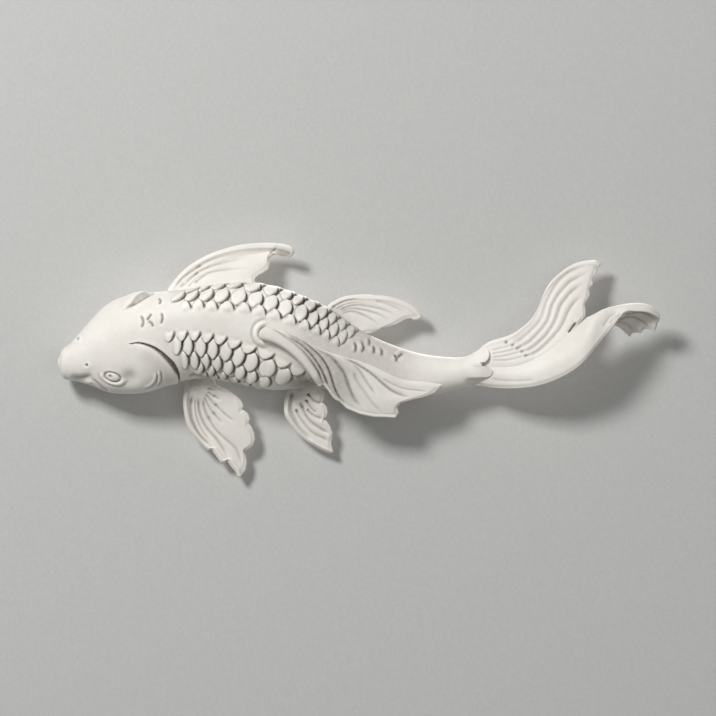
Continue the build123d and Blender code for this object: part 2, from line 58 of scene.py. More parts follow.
# Sections of the body, as in the solids: X, top edge, bottom edge, ridge of the back, depth of the ridge,
# depth of the widest line, depth of the back, how far the back is set in
BODY_ROWS = np.array((
    (-181.5, -22.0, -32.0, -27.0, 30.0, 26.0, 22.0, 1.5),
    (-179.5, -16.5, -38.0, -26.5, 35.0, 25.0, 15.0, 3.0),
    (-174.0, -10.5, -43.5, -24.5, 40.0, 24.0, 7.0, 5.0),
    (-164.0, -1.0, -46.0, -20.0, 45.0, 24.0, -4.0, 8.0),
    (-152.0, 13.0, -48.5, -14.0, 51.0, 26.0, -4.0, 10.0),
    (-136.0, 29.5, -55.0, -7.0, 58.0, 29.0, -4.0, 12.0),
    (-116.0, 39.5, -58.0, 0.0, 64.0, 31.0, -4.0, 13.0),
    (-94.0, 43.5, -56.5, 8.0, 69.0, 33.0, -4.0, 13.0),
    (-68.0, 45.0, -48.0, 15.0, 72.0, 34.0, -4.0, 13.0),
    (-35.0, 50.0, -42.5, 17.0, 74.0, 34.0, -4.0, 13.0),
    (0.0, 53.5, -48.0, 13.0, 74.0, 34.0, -4.0, 13.0),
    (32.0, 50.5, -54.0, 4.0, 71.0, 33.0, -4.0, 13.0),
    (63.0, 40.0, -52.5, -7.0, 66.0, 31.0, -4.0, 12.0),
    (95.0, 24.5, -54.5, -18.0, 60.0, 29.0, -4.0, 11.0),
    (125.0, 4.0, -59.0, -29.0, 54.0, 27.0, -4.0, 9.0),
    (152.0, -8.5, -62.5, -36.0, 49.0, 25.0, -3.0, 8.0),
    (180.0, -17.5, -61.0, -40.0, 45.0, 24.0, 2.0, 6.0),
    (206.0, -21.0, -56.5, -39.0, 43.0, 26.0, 9.0, 5.0),
    (228.0, -20.0, -51.0, -35.0, 43.0, 29.0, 15.0, 4.0),
    (249.0, -9.0, -50.5, -28.0, 44.0, 32.0, 20.0, 4.0),
))
FULLNESS = 0.58
BACK_PULL = 0.25
EDGE_PULL = 0.5
SET_IN_PULL = 0.45
CURVE_POINTS = 90
NOSE_END = -181.5
STEM_END = 249.0
PLATE_START = -148.3
PLATE_END = 136.3
PLATE_RIM = 4.7
POCKET_DEPTH = 20.0

# Spacing of the skin's rows along the head, the scaled flank and the tail stem, and its columns round the
# front. The columns behind the widest line, less a margin, are further apart.
HEAD_STEP = 0.66
FLANK_STEP = 0.72
STEM_STEP = 1.3
FLANK_START = -75.0
STEM_START = 115.0
SKIN_COLUMNS = 180
HIDDEN_CROWDING = 0.4
HIDDEN_MARGIN = 2.0
FLAT_SHARE = 0.03

# Rings that close the nose and the stem, as shares of the last row, how far the nose is rounded, and the wash
# on the stem's end
CLOSING_RINGS = (0.85, 0.55, 0.2)
NOSE_ROUNDING = 1.0
STEM_END_WASH = 0.45

# Collar round the tail's root: its edge, the depths between which that edge comes in, how it rises and then
# dips below its foot, and two lobes that reach over the tail as height of the middle, half the width and X of
# the tip
COLLAR_START = 222.0
COLLAR_EDGE = 241.5
COLLAR_FRONT = (24.0, 34.0)
COLLAR_RISE = 2.0
COLLAR_DIP = 4.5
COLLAR_FOOT = (-45.0, -41.0)
COLLAR_DIP_TOP = (-40.0, -46.0)
COLLAR_LOBES = ((-18.0, 9.0, 249.5), (-35.6, 5.8, 252.5))

# Rows of scales from the back down to the belly: distance from a scale's middle to its free end at the first
# and at the last scale, radius across the row, lean of the free ends in degrees at both, which side of the
# scales stands clear of the smooth back (1 upper, -1 lower, 0 both), then the middle of each scale as X, Z
SCALE_ROWS = (
    (9.2, 9.2, 10.8, (-20.0, 12.0), 0, (
        (-65.5, 45), (-51.5, 46.5), (-40.5, 48.2), (-24.5, 50.2), (-7.5, 51.8), (11.5, 50), (28.5, 47.5),
        (43, 43.5), (54.5, 39), (66.5, 32.5), (78, 26), (87.5, 21), (97.5, 14.5), (106.5, 8))),
    (8.6, 8.6, 10.6, (-24.0, 14.0), 0, (
        (-64.5, 40.5), (-50.5, 41.5), (-35.5, 42), (-19.5, 41.5), (-2.5, 40), (14.5, 37.5), (29.5, 34),
        (44, 28.5), (59, 24.5), (70, 18.5), (80, 13.5), (89.5, 8.5), (98.5, 1.5))),
    (8.8, 8.2, 10.0, (-8.0, 16.0), 1, (
        (-58, 26.5), (-44.5, 28), (-31, 27), (-14.5, 26), (2, 24.5), (17.5, 22), (32.5, 18), (47.5, 12.5),
        (61, 8), (72, 3.5), (81.5, -1.5), (90.5, -7.5))),
    (7.0, 8.6, 10.2, (0.0, 0.0), -1, (
        (-73, 4), (-60, 4.5), (-47, 4.5), (-34, 3), (-20, 1), (-6, -2.5), (9.5, -7.5), (27, -14), (44, -23),
        (58, -31))),
    (7.0, 9.6, 11.2, (6.0, 6.0), 0, (
        (-64.5, -8.5), (-54, -10), (-41.5, -11), (-29.5, -13), (-16, -15), (-3.5, -20), (9.5, -26),
        (26.5, -32.5), (41.5, -40.5))),
    (6.4, 7.8, 10.2, (6.0, 6.0), 0, (
        (-57.5, -25), (-47.5, -25.5), (-36.5, -26), (-25, -28.5), (-13.5, -32), (-2.5, -36.5), (9.5, -41.5),
        (22.5, -46.5))),
    (6.2, 7.2, 8.8, (6.0, 6.0), 0, (
        (-42.5, -33), (-31.5, -35.5), (-20, -40), (-8.5, -44), (3, -48), (15.5, -52))),
)
SCALE_LIFT = 1.9
SCALE_GROOVE = 1.3
SCALE_SLOPE = 0.5
SCALE_SLOPE_LENGTH = 5.0
SCALE_GAP = 2.0
SCALE_POINT = 1.5
SCALE_ROUND = 0.58
SCALE_REACH = 9.0
SCALE_STEP = 0.45
SCALE_ROLL = 0.4
SCALE_ROLL_WIDTH = 0.8
CLEAR_EDGE = (-2.0, 4.5)
DITCH_WIDTH = 1.0
DITCH_WIDENING = 1.7
HEAD_DITCH = 0.6
ROW_STEP = 11.0
# Along this stretch the scales sink by a share, and round the outline of the fish they lie flatter.
SCALE_SINK = 0.45
SINKING = (82.0, 112.0)
OUTLINE_LIFT = 0.3

# Painted shade that darkens the rump and the belly round the root of the left pelvic fin, and where along X
# the wash between the scales grows faint, on the back and on the belly
RUMP_PAINTED_SHADE = 0.22
RUMP_START = (40.0, 75.0)
RUMP_END = (190.0, 140.0)
BACK_FAINT = (58.0, 104.0)
BELLY_FAINT = (16.0, 56.0)
BELLY_TOP = (-8.0, -14.0)
FAINT_SHARE = 0.55
BELLY_PAINTED_SHADE = 0.42
BELLY_SPOT = (62.0, -46.0)
BELLY_SPOT_SIZE = 9.0
BELLY_SPOT_STRETCH = 2.2

# Head: edge of the near gill cover and how wide the gap behind it is along that edge, then the two edges of
# the far one, as X and Z in the plane of the wall
GILL_LINE = ((-109.2, -8.4), (-102.3, -7.7), (-93.7, -9.7), (-85.9, -13.2), (-78.2, -19.2), (-72.2, -25.7),
             (-67.4, -31.7), (-63.6, -37.7), (-61, -42.5), (-61.8, -46.3))
GILL_GAP = ((0.0, 0.6), (0.15, 1.5), (0.45, 3.0), (0.72, 4.6), (0.85, 3.8), (1.0, 0.4))
COVER_LIFT = 1.8
COVER_WIDTH = 8.0
GILL_DEPTH = 3.4
FAR_COVER_LIFT = 2.4
FAR_COVER_WIDTH = 9.0
FAR_COVER_FALL = 4.0
FAR_GROOVE = 1.6
FAR_GROOVE_WIDTH = 2.2
FAR_COVER_LINE = ((-117.5, 25.4), (-112, 29.2), (-107, 33.6), (-103.5, 38), (-99.5, 41), (-94, 43.5))
FAR_GILL_LINE = ((-117.5, 25.4), (-106, 32), (-100.5, 35), (-95.3, 38.5), (-88, 42.5))
CHEEK_LINES = (((-83, -35), (-82, -41.5), (-84.7, -47.5), (-90.5, -52), (-99, -55)),
               ((-79.5, -33.5), (-77.8, -42), (-80, -48), (-86, -52.5)))
JAW_LINE = ((-150.5, -42.8), (-146, -44.8), (-141, -49), (-135.5, -53.5), (-130, -56))
MOUTH_LINE = ((-172, -40.5), (-164, -43), (-157, -42.8), (-150.5, -41), (-145, -38.5))
NAPE_LINES = (
    ((-99, 21), (-95.9, 14.8), (-98, 7)), ((-87.2, 22.8), (-92.6, 15.1)),
    ((-91.5, 14.8), (-87.2, 12.2), (-85.9, 8)), ((-78, 23.8), (-76.6, 18.3), (-78.4, 11)),
    ((-81.4, 38.4), (-78.6, 35.1), (-81, 31.8)),
)
EYE_MIDDLE = (-127.0, -41.0)
EYE_HALF = (8.6, 4.5)
EYE_TILT = 17.0
EYE_BALL_RISE = 1.2
SOCKET_DEPTH = 1.4
PUPIL = (-2.3, 0.6)
PUPIL_WIDTH = 1.3
PUPIL_STRETCH = 1.5
PUPIL_DEPTH = 1.2
LID_RISE = 1.2
UNDER_LID_DEPTH = 0.4
EYE_HOLLOW = (-109.5, -42.0)
EYE_HOLLOW_SIZE = 8.0
EYE_HOLLOW_DEPTH = 3.2
NOSTRILS = ((-152.8, -29.2), (-162, -2.6))
NOSTRIL_SIZE = 1.35
NOSTRIL_DEPTH = 2.6
NOSTRIL_RIM = (1.6, -0.6)
NOSTRIL_RIM_SIZE = 3.4
NOSTRIL_RIM_RISE = 0.9

# Back: middle of the raised ring in front of the dorsal fin, its rolls as radius, width and height, and its
# wash as radius, width and share, then small marks on the rump and the lines where wash gathers along the
# roots of the fins
FIN_RING = (26.5, 2.5)
FIN_RING_ROLLS = ((10.3, 2.3, 1.8), (6.0, 1.5, -1.1), (14.6, 1.4, -0.7))
FIN_RING_WASH = ((6.0, 1.1, 0.4), (14.6, 0.9, 0.3))
FIN_RING_FRONT = (4.0, -4.0)
RUMP_LINES = (
    ((113.5, -4.7), (116.4, -11), (114.4, -17.8)), ((120.7, -3.4), (123.9, -10.6), (121.3, -18.4)),
    ((128.5, -0.8), (130, -6), (128.5, -10.6)), ((132.5, -8.6), (134.6, -13.9), (132.5, -19.1)),
    ((140.3, -10.6), (142.5, -15.8), (140.3, -21.1)), ((152.7, -17.4), (156.6, -22), (155.8, -27.6)),
    ((164.4, -16.5), (160.5, -19), (156.8, -23)),
)
ROOT_LINES = (
    ((90, 27), (97, 24), (104.3, 19.8), (112.4, 14), (118, 10.5), (125, 5)),
    ((-53, -41.5), (-47, -39), (-37, -40.2), (-27, -43.5)),
)
# Plain furrows: lines, width, depth and wash. They die out over a share of the line at both ends.
FURROWS = ((NAPE_LINES, 1.3, 1.3, 0.8), (ROOT_LINES, 1.9, 1.0, 0.55), ((JAW_LINE,), 1.4, 1.3, 0.4))
FURROW_END = 0.18
# Furrows with a roll on their right: lines, shares of the line at which it is full and starts to die out,
# distance, width and height of the roll, width and depth of the furrow, width and share of its wash. They are
# the folds of the cheek, the free ends of small scales on the rump, and the hollow over the lip.
ROLLED_FURROWS = (
    (CHEEK_LINES, (0.2, 0.6), (2.0, 1.7, 1.0), (1.1, 1.3), (0.9, 0.55)),
    (RUMP_LINES, (0.3, 0.7), (2.6, 1.9, 0.8), (1.3, 1.4), (1.1, 0.8)),
    # Over the lip the wash is broad and stands partly for painted shade under the snout.
    ((MOUTH_LINE,), (0.35, 0.65), (5.0, 1.6, 0.5), (3.6, 2.8), (2.6, 0.45)),
)

# Edges of the fins: X, Z and depth. A root lies inside the body or on it, and a side may end in a torn part.
# Cuts are furrows in a fin's face: half width, depth, share of the wash that stays, then the line as X and Z.
# Pits are drop-shaped, from their blunt end to their point.
LEFT_PECTORAL = {
    "root": ((-52, -40, 28), (-43, -38, 31), (-26, -38, 30)),
    "lead": ((-52, -40, 28), (-54, -50, 27), (-56, -61, 24), (-56, -71, 21), (-54.5, -81.5, 19),
             (-51, -92, 17), (-45, -100.5, 15.5), (-38, -108, 14.5), (-32, -114, 14)),
    "lead_torn": ((-32, -114, 14), (-28.5, -112.5, 14.5), (-24, -119, 14), (-19.5, -126, 13),
                  (-17, -127, 13), (-15, -125.5, 13), (-13.5, -123.5, 13.5), (-9, -129.5, 12.5),
                  (-4, -136, 11.5), (-2, -140.5, 10.5)),
    "tip": ((-2, -140.5, 10.5), (1, -139, 10.5), (5, -133.5, 11), (6, -127, 12), (5, -120, 13),
            (2, -114, 14), (7.5, -113, 13.5), (12, -109.5, 13.5)),
    "trail": ((-26, -38, 30), (-26, -44, 29), (-24, -49, 27), (-17.5, -52.8, 25), (-9, -57, 23.5),
              (0, -64.5, 21)),
    "trail_torn": ((0, -64.5, 21), (2.5, -70, 20), (1, -74.5, 20), (4, -75.5, 19.5), (7.5, -79, 18.5),
                   (9, -83.5, 18), (7.5, -87.5, 17.5), (11, -92, 16), (13, -97.5, 15), (14, -103.5, 14),
                   (12, -109.5, 13.5)),
}
LEFT_PECTORAL_CUTS = (
    (1.8, 1.9, 0.22, ((-47.8, -58), (-49.3, -72.3), (-47.8, -83.7), (-43.2, -94.4), (-37.1, -102.9),
                      (-30.2, -109.7), (-28.5, -113.5))),
    (1.2, 1.2, 0.12, ((-44.5, -60), (-44.5, -72.3), (-42.5, -83.7), (-37.9, -94.4), (-31.7, -102.9),
                      (-28, -107))),
    (1.6, 1.9, 0.2, ((-41.7, -60), (-40.8, -73.8), (-37.5, -84.5), (-31, -95.2), (-24, -102.9),
                     (-18, -111.5), (-14.5, -118), (-13.5, -125))),
    (1.5, 1.6, 0.18, ((-37.6, -60), (-34.5, -75.3), (-30.6, -83.5), (-26, -91.2), (-19.5, -98.8),
                      (-11.5, -106), (-4.5, -113), (-0.5, -121), (1.5, -133))),
    (1.1, 1.1, 0.2, ((-35.6, -56), (-28.7, -64.6), (-23.3, -70.3), (-18, -75.3), (-11.8, -80.7),
                     (-4, -86))),
    (1.0, 1.0, 0.2, ((-36.3, -59.2), (-31, -70.7), (-25.6, -78.4), (-20, -84.7), (-16.5, -88.3))),
    (1.0, 0.9, 0.2, ((-33.3, -54.7), (-27.2, -59.2), (-24.1, -61.2), (-19.5, -64.3))),
)
LEFT_PECTORAL_PITS = (((-26, -59.8), (-20.5, -63.5)), ((-24.2, -68.8), (-18.5, -74.6)),
                      ((-26.4, -77), (-21.5, -82.8)), ((-31.5, -81.5), (-27.5, -89)),
                      ((-31.5, -52), (-22.5, -54.5)))
LEFT_PELVIC = {
    "root": ((55, -42, 28), (64, -41, 30), (78, -42, 29)),
    "lead": ((55, -42, 28), (51, -52, 26), (46.5, -60, 24), (45, -69, 22), (45.5, -78, 20), (49, -85.5, 18),
             (55.5, -94, 16), (64.5, -102.5, 14), (74.5, -109.5, 12), (84, -114.5, 10.5), (90.5, -117, 10)),
    "tip": ((90.5, -117, 10), (92.5, -115.5, 10), (91, -109.5, 11.5), (90.5, -106, 12), (91.5, -103, 12.5),
            (92, -97, 14)),
    "trail": ((78, -42, 29), (79, -51.5, 28), (81.5, -54, 26), (83.5, -58, 24.5)),
    "trail_torn": ((83.5, -58, 24.5), (83, -64, 22.5), (81, -66.5, 22), (83.5, -68.5, 21.5),
                   (86, -71.5, 20.5), (87, -76, 19.5), (86, -80.5, 18.5), (83, -83.5, 18),
                   (86.5, -86.5, 17), (90, -91.5, 15.5), (92, -97, 14)),
}
LEFT_PELVIC_CUTS = (
    (2.2, 2.2, 0.2, ((52.4, -53), (51, -65), (51.5, -74.7), (55, -84.3), (60, -93.2), (66, -99.3),
                     (74, -105))),
    (1.6, 1.8, 0.2, ((55.5, -70), (57, -76), (60.2, -81.8), (65.2, -88.9), (71, -95.4), (77.8, -100),
                     (85, -103.2), (91.5, -108))),
    (1.6, 2.0, 0.28, ((59.5, -64), (62.5, -71.6), (65.3, -78), (70.5, -85.2), (76.8, -90.2), (83.9, -94.6),
                      (92, -98))),
    (1.2, 1.3, 0.22, ((65.8, -62.5), (69.3, -69.2), (73, -73.7), (78, -77.3))),
    (1.6, 1.8, 0.22, ((66, -72), (69.5, -76), (73, -79), (77.5, -81.2), (84, -83))),
    (1.4, 1.6, 0.22, ((66.5, -55.5), (70.7, -61.2), (74.7, -64.8), (83, -67))),
)
LEFT_PELVIC_PITS = (((62, -70.2), (65, -77)), ((56.4, -74.4), (58.6, -79.5)), ((68, -58), (72.5, -62)),
                    ((66, -64), (69, -69)))
RIGHT_PECTORAL = {
    "root": ((-68, 36, 34), (-50, 37, 35), (-20, 38, 35), (5, 40, 35), (15, 40, 34)),
    "lead": ((-68, 36, 34), (-71.5, 44.5, 32), (-68.5, 51, 31), (-62, 59, 30), (-53, 68, 29),
             (-42.5, 75, 28), (-30, 81.5, 27), (-15.5, 86.5, 26), (0.5, 90.5, 25.5), (14, 92, 25),
             (27, 92.5, 25), (37, 92, 26), (45, 90.5, 27), (51.5, 87.5, 27), (53.5, 84, 26)),
    "tip": ((53.5, 84, 26), (51.5, 80.5, 22), (48.5, 79.5, 19), (39.5, 81.5, 18), (32.5, 82, 22),
            (30.5, 80, 25), (26.5, 77.5, 25.5), (29, 73.5, 26)),
    "trail": ((15, 40, 34), (17, 47, 33), (16.5, 51, 32)),
    "trail_torn": ((16.5, 51, 32), (14, 54.5, 31), (14, 58, 30), (17.5, 61.5, 29), (22.5, 64, 28),
                   (28, 68, 27), (29, 73.5, 26)),
}
RIGHT_PECTORAL_CUTS = (
    (1.5, 1.6, 0.14, ((-65.5, 47), (-57.7, 57.3), (-48.8, 63.8), (-40.7, 69.3), (-32.7, 74), (-22, 78.2),
                      (-8.6, 82), (3, 84))),
    (1.5, 1.6, 0.14, ((-57.5, 48.5), (-50.5, 55.9), (-44.3, 61.3), (-35.4, 66.6), (-22.9, 71.1),
                      (-8.6, 74.2), (4.8, 76.4), (20, 77))),
    (1.5, 1.5, 0.12, ((-45.5, 51.5), (-37.1, 59), (-29.1, 63.1), (-17.5, 65.3), (-4.1, 66.6), (5, 67.3),
                      (17, 66))),
    (0.9, 0.8, 0.1, ((-61, 47), (-54.5, 55), (-46.5, 61.5), (-38, 66.8))),
    (0.9, 0.8, 0.1, ((-52, 48), (-46, 55), (-38.5, 61), (-29, 65.5))),
    (1.1, 1.3, 0.3, ((30, 80.5), (32, 84), (34.5, 87.5), (37, 91), (38.5, 93.5))),
)
RIGHT_PECTORAL_PITS = (((-40.4, 69.6), (-46.5, 65.6)), ((-43, 62.6), (-48, 58)), ((-43.6, 54), (-47, 50.5)),
                       ((-56, 51), (-60, 46.5)))
RIGHT_PELVIC = {
    "root": ((86, 20, 29), (96, 13, 29.5), (107, 5, 29), (120, -4, 27.5)),
    "lead": ((86, 20, 29), (88, 29, 28), (94, 34, 27), (102.5, 38, 26), (113.5, 40, 25), (125, 40.5, 24),
             (136, 40, 23), (147.5, 39, 22), (157, 36.5, 21), (166.5, 33, 20.5), (173.5, 29, 20),
             (178, 25.5, 19.5), (181, 21.5, 19)),
    "tip": ((181, 21.5, 19), (180, 18, 19), (174, 16.5, 19), (170.5, 18.5, 19.5), (165.5, 17.5, 20),
            (160.5, 15, 20.5), (156, 12.5, 21), (146.5, 9.5, 22), (141, 8.5, 22.5), (136, 5.5, 23)),
    "trail": ((120, -4, 27.5), (126, 3, 26.5), (130, 3.5, 25), (136, 5.5, 23)),
}
RIGHT_PELVIC_CUTS = (
    (1.3, 1.5, 0.28, ((90, 27), (99.6, 32.8), (107, 35.5), (114.5, 36.6), (124, 36.4))),
    (1.4, 1.1, 0.08, ((134, 35.2), (146.2, 32.1), (155, 28.4), (163.1, 24.7), (171, 19.5))),
    (1.0, 1.0, 0.12, ((95, 26), (104.3, 30.8), (112.4, 32.8), (125, 33))),
    (1.4, 1.5, 0.16, ((97, 24.2), (105.7, 28.1), (112.4, 30), (119.9, 30.4), (129.3, 29.2), (138.1, 27.5),
                      (146.2, 25.1), (153.7, 21.8), (162, 16))),
    (1.4, 1.5, 0.16, ((99, 22.6), (107.7, 26.6), (114.5, 27.2), (122.6, 26), (129.3, 24.5), (138.1, 21.8),
                      (147.6, 16.7), (156, 12))),
    (1.4, 1.5, 0.16, ((100.5, 21), (109, 24.4), (114.5, 24), (122.6, 21.2), (128, 18.5), (133.4, 15.4),
                      (139.5, 11.4), (144.5, 8.5))),
)
DORSAL = {
    "root": ((22.5, -2, 73), (21, 2, 75), (26, 7.5, 73.5)),
    "lead": ((22.5, -2, 73), (32, -5, 73.5), (42, -10.5, 72.5), (53, -19, 70), (63.5, -30, 66),
             (72, -41, 61), (77.5, -48, 57.5)),
    "lead_torn": ((77.5, -48, 57.5), (80.5, -49, 57), (83.5, -47.5, 57.5), (88, -53, 55), (92, -59, 52.5),
                  (96, -63, 50.5), (100, -64.5, 49.5), (103, -67.5, 48.5), (107, -71.5, 47),
                  (119.5, -77, 44.5), (133.5, -80, 43), (147.5, -80.5, 42), (155, -81, 41.5)),
    "tip": ((155, -81, 41.5), (158, -76.5, 43), (156, -71, 45), (160.5, -66.5, 46), (171, -63.5, 46.5),
            (182.5, -61, 46), (194, -56.5, 46), (201.5, -49, 45)),
    "trail": ((26, 7.5, 73.5), (42, 5, 72), (59, -2, 69), (76, -11.5, 65.5), (93, -18.5, 62.5),
              (109, -23, 59.5), (121, -26.5, 57), (135, -32, 54), (151.5, -40, 51), (165.5, -44.5, 48.5),
              (182.5, -46, 47), (201.5, -49, 45)),
}
DORSAL_SPINE_HALF = ((0.0, 5.6), (0.5, 5.2), (0.85, 4.3), (1.0, 2.6))
DORSAL_SPINE_RISE = 4.6
DORSAL_FLARE = 3.0
DORSAL_LIP = 1.6
DORSAL_SHADE = 0.36
DORSAL_CUTS = (
    (1.5, 2.0, 0.3, ((30, 8.5), (38.2, 3), (45.9, -2.2), (52.5, -6.8), (58.6, -11.8), (63.7, -16.5),
                     (68.5, -22), (73.2, -28), (77, -33.7), (80.5, -40), (83, -48))),
    (1.2, 1.8, 0.3, ((45, 0.5), (51.5, -3.8), (56.6, -6.3), (63.7, -11.4), (68.8, -16), (73.9, -21.7),
                     (78, -27.8), (81.6, -33.9), (84.6, -40), (87.2, -46.1), (91, -56))),
    (1.2, 1.8, 0.3, ((60, -3.5), (64.7, -6.3), (70.3, -10.9), (74.9, -15), (79, -18.6), (83.1, -23.7),
                     (86.7, -29.3), (90.5, -38), (93.8, -48.8), (97.7, -58), (103.8, -67.1), (110, -73.5))),
    (2.2, 2.4, 0.22, ((66, -5), (75.5, -10.4), (82.1, -14.5), (88.7, -19.1), (94.3, -24.2), (98.9, -29.8),
                      (103.4, -36.2), (107.4, -45.5), (110.7, -54.9), (114.5, -62.6), (120.6, -70.2),
                      (125, -76))),
    (1.6, 1.0, 0.08, ((112, -35), (115.2, -41.1), (120.6, -50.3), (126.7, -58.7), (132.8, -67.1),
                      (139, -73.3), (145, -77.5))),
    (1.3, 1.2, 0.14, ((111, -25.5), (114.5, -28.9), (120.6, -35.8), (125.2, -43.4), (129.8, -50.3),
                      (137, -60))),
    (1.6, 2.1, 0.34, ((101, -20), (113, -25.8), (122.1, -31.2), (129.8, -36.5), (137.4, -42.7),
                      (145.1, -49.5), (153.5, -55.7), (162.7, -59.5), (174, -62.5))),
    (1.0, 0.9, 0.12, ((140, -41), (143.6, -43.4), (153.5, -48.8), (163.5, -52.6), (174.2, -54.1),
                      (190, -56))),
)
TAIL_UPPER = {
    "root": ((234, -21, 32.5), (238, -27, 37), (240, -36, 37)),
    "lead": ((234, -21, 32.5), (242, -12, 34.5), (249, -6.5, 36.5), (258.5, -3.5, 38.5), (271, 1, 39.5),
             (281.5, 7.5, 38), (291, 16, 36), (298, 26.5, 33), (302, 36, 30.5), (306.5, 47, 28),
             (312.5, 55.5, 26), (321, 63, 24), (330.5, 69.5, 22.5), (341, 73.5, 21), (351.5, 75, 20),
             (357.5, 74.5, 19.5), (360.5, 72, 19)),
    "tip": ((360.5, 72, 19), (356.5, 68, 20.5), (356.5, 63, 22), (353, 59, 23), (351.5, 55, 24.5),
            (353, 52.5, 25), (349.5, 48.5, 26), (348.5, 45, 27.5), (349.5, 41.5, 28), (346.5, 36, 30),
            (344, 31.5, 31.5), (345, 25, 33), (344.5, 19, 35)),
    "trail": ((240, -36, 37), (262, -34.5, 42), (283, -30, 47), (300, -22.5, 47.5), (316, -12.5, 46),
              (327, -2, 43.5), (336, 9, 39), (344.5, 19, 35)),
}
TAIL_UPPER_CUTS = (
    (1.9, 1.9, 0.1, ((271, -10), (279.8, -4.7), (288, 2), (295.5, 9.3), (302, 18.3), (305.9, 30.8),
                     (309.1, 38.2), (313.2, 46), (317.4, 52.3), (322.7, 58), (329.5, 63.3), (336.3, 66.4),
                     (348, 70.5))),
    (1.9, 2.0, 0.14, ((275, -13.5), (283.1, -9.7), (289.7, -5.9), (296.3, 0.3), (303, 8), (308.8, 17.5),
                      (312.7, 30.8), (315.9, 36.6), (319.5, 42.3), (324.7, 48.1), (328.9, 52.8),
                      (334.7, 56.5), (341.5, 60.1), (351, 64))),
    (1.9, 2.1, 0.16, ((280, -16.3), (289.7, -13.3), (296.3, -8.8), (304.6, -1), (311, 7.5), (316.2, 17.5),
                      (319, 25.6), (321.6, 31.4), (325.3, 36.6), (329.5, 41.8), (334.7, 46.5),
                      (347, 53.5))),
    (1.9, 2.0, 0.14, ((284.5, -20.3), (294.7, -17), (303, -11), (312, -2), (319.5, 6.8), (324, 14.5),
                      (328.5, 24), (332.6, 30.8), (336.3, 35), (345.5, 40.5))),
    (0.8, 0.6, 0.12, ((251, -14.8), (263.2, -12.1), (273.1, -9.2))),
    (0.8, 0.6, 0.12, ((252, -18.2), (267.3, -15.5), (277.3, -12.6))),
    (0.8, 0.6, 0.12, ((252, -21.6), (267.3, -19.6), (282.2, -15.5))),
    (0.8, 0.6, 0.12, ((252, -24.2), (267.3, -24.2), (286.4, -19.6))),
    (1.3, 1.8, 0.75, ((328, 2), (330.2, 5.6), (332.4, 9), (336.5, 13.8))),
)
TAIL_UPPER_PITS = (((272.2, -9.8), (276.5, -7)), ((276.8, -13), (285, -8.6)),
                   ((281.4, -16), (286.5, -14.4)), ((285.4, -20.2), (291.5, -18.2)),
                   ((266.3, -7), (269.5, -5.2)))
# Lower lobe of the tail, section by section along X: Z and depth of its front lip, of the top of its arch and
# of its ragged back edge
TAIL_LIP = ((232, -45, 28), (243, -48.8, 33), (260, -51.5, 40.5), (285, -51, 49.5), (305, -47, 55),
            (322, -40, 58), (343, -25, 62), (362, -2, 62), (374, 12, 60), (383, 23.5, 57), (394, 25.5, 54),
            (407, 24.5, 50), (415, 21, 46), (419, 18, 43))
TAIL_ARCH = ((232, -37, 33), (243, -37, 38), (271, -38, 46.5), (300, -32, 54), (322, -21, 57),
             (340, -3, 59), (348, 11.5, 58), (356, 20, 56), (364, 24.5, 53), (377, 28, 50), (389, 30, 47),
             (400, 30.3, 44.5), (409, 28, 43), (416, 22.5, 42), (419, 19.5, 42))
TAIL_BACK = ((232, -29, 32), (249, -25, 36.5), (271, -26, 41), (294, -21, 43), (314, -10, 43),
             (331, 4, 44.5), (348, 18, 45.5), (363, 20, 42), (372, 13, 39), (380.5, 8.5, 36),
             (386.5, 3, 33), (390, 0, 32), (392, 3.5, 32), (396.5, 4.5, 32), (401, 3.5, 31.5),
             (402.5, 6.5, 31.5), (406.5, 8.5, 31.5), (410.5, 7.5, 32), (415, 5, 32.5), (417, 13, 34),
             (419, 16, 38))
TAIL_LOWER_CUTS = (
    (1.4, 0.6, 0.1, ((251, -41.3), (259, -43.7), (271.5, -44.5), (283.9, -44.5), (297, -42.5))),
    (1.2, 0.6, 0.05, ((362, 8), (368.8, 17.8), (378, 23))),
    (1.2, 0.6, 0.05, ((369, 11), (375, 17.8), (383, 21.3))),
)
TAIL_UNDERSIDE_CUTS = (
    (1.2, 1.1, 0.35, ((376, 14.5), (386.3, 19.6), (392.5, 19.6), (398.8, 17.1), (405, 13.4), (410.5, 8))),
    (1.0, 0.9, 0.35, ((382, 21.5), (392.5, 23.6), (401.9, 24), (410, 21), (418, 16))),
    (1.2, 0.8, 0.25, ((373, 13.5), (383.1, 14), (389.4, 10.3), (393, 5.5))),
)

# Half the thickness of the fins at the root, in the middle and at the free edges, and the roll along their
# leading edge
PADDLE_HALF = (4.2, 2.8, 1.6)
PADDLE_ROLL = 1.8
RIGHT_PECTORAL_HALF = (4.0, 2.8, 1.6)
RIGHT_PECTORAL_ROLL = 0.9
RIGHT_PELVIC_HALF = (4.0, 2.7, 1.5)
RIGHT_PELVIC_ROLL = 1.1
DORSAL_HALF = (2.6, 2.6, 1.5)
TAIL_UPPER_HALF = (2.6, 2.7, 1.5)
TAIL_UPPER_ROLL = 1.0
TAIL_LOWER_HALF = (2.6, 2.4, 1.3)
FREE_EDGE_WIDTH = 4.5
EDGE_ROUNDING = 0.7
LEAD_ROLL_PLACE = 2.2
LEAD_ROLL_WIDTH = 1.9
PIT_DEPTH = 0.9
PIT_WIDTH = 1.4
PIT_WASH = 0.5
FAINT_PIT_WASH = 0.2
REAR_WASH = 0.2
# Their rears swell over the dowels by this much.
DOWEL_SWELL = 1.6
TAIL_LOWER_SWELL = 1.8

# Camera and lamps, in metres: middle of the picture as X and Z, its width, and the depth at which it is true
FRAME_MIDDLE = (0.118, -0.022)
FRAME_WIDTH = 0.716
TRUE_DEPTH = 0.035
CAMERA_DISTANCE = 8.0
LAMP_AIM_Y = -0.03


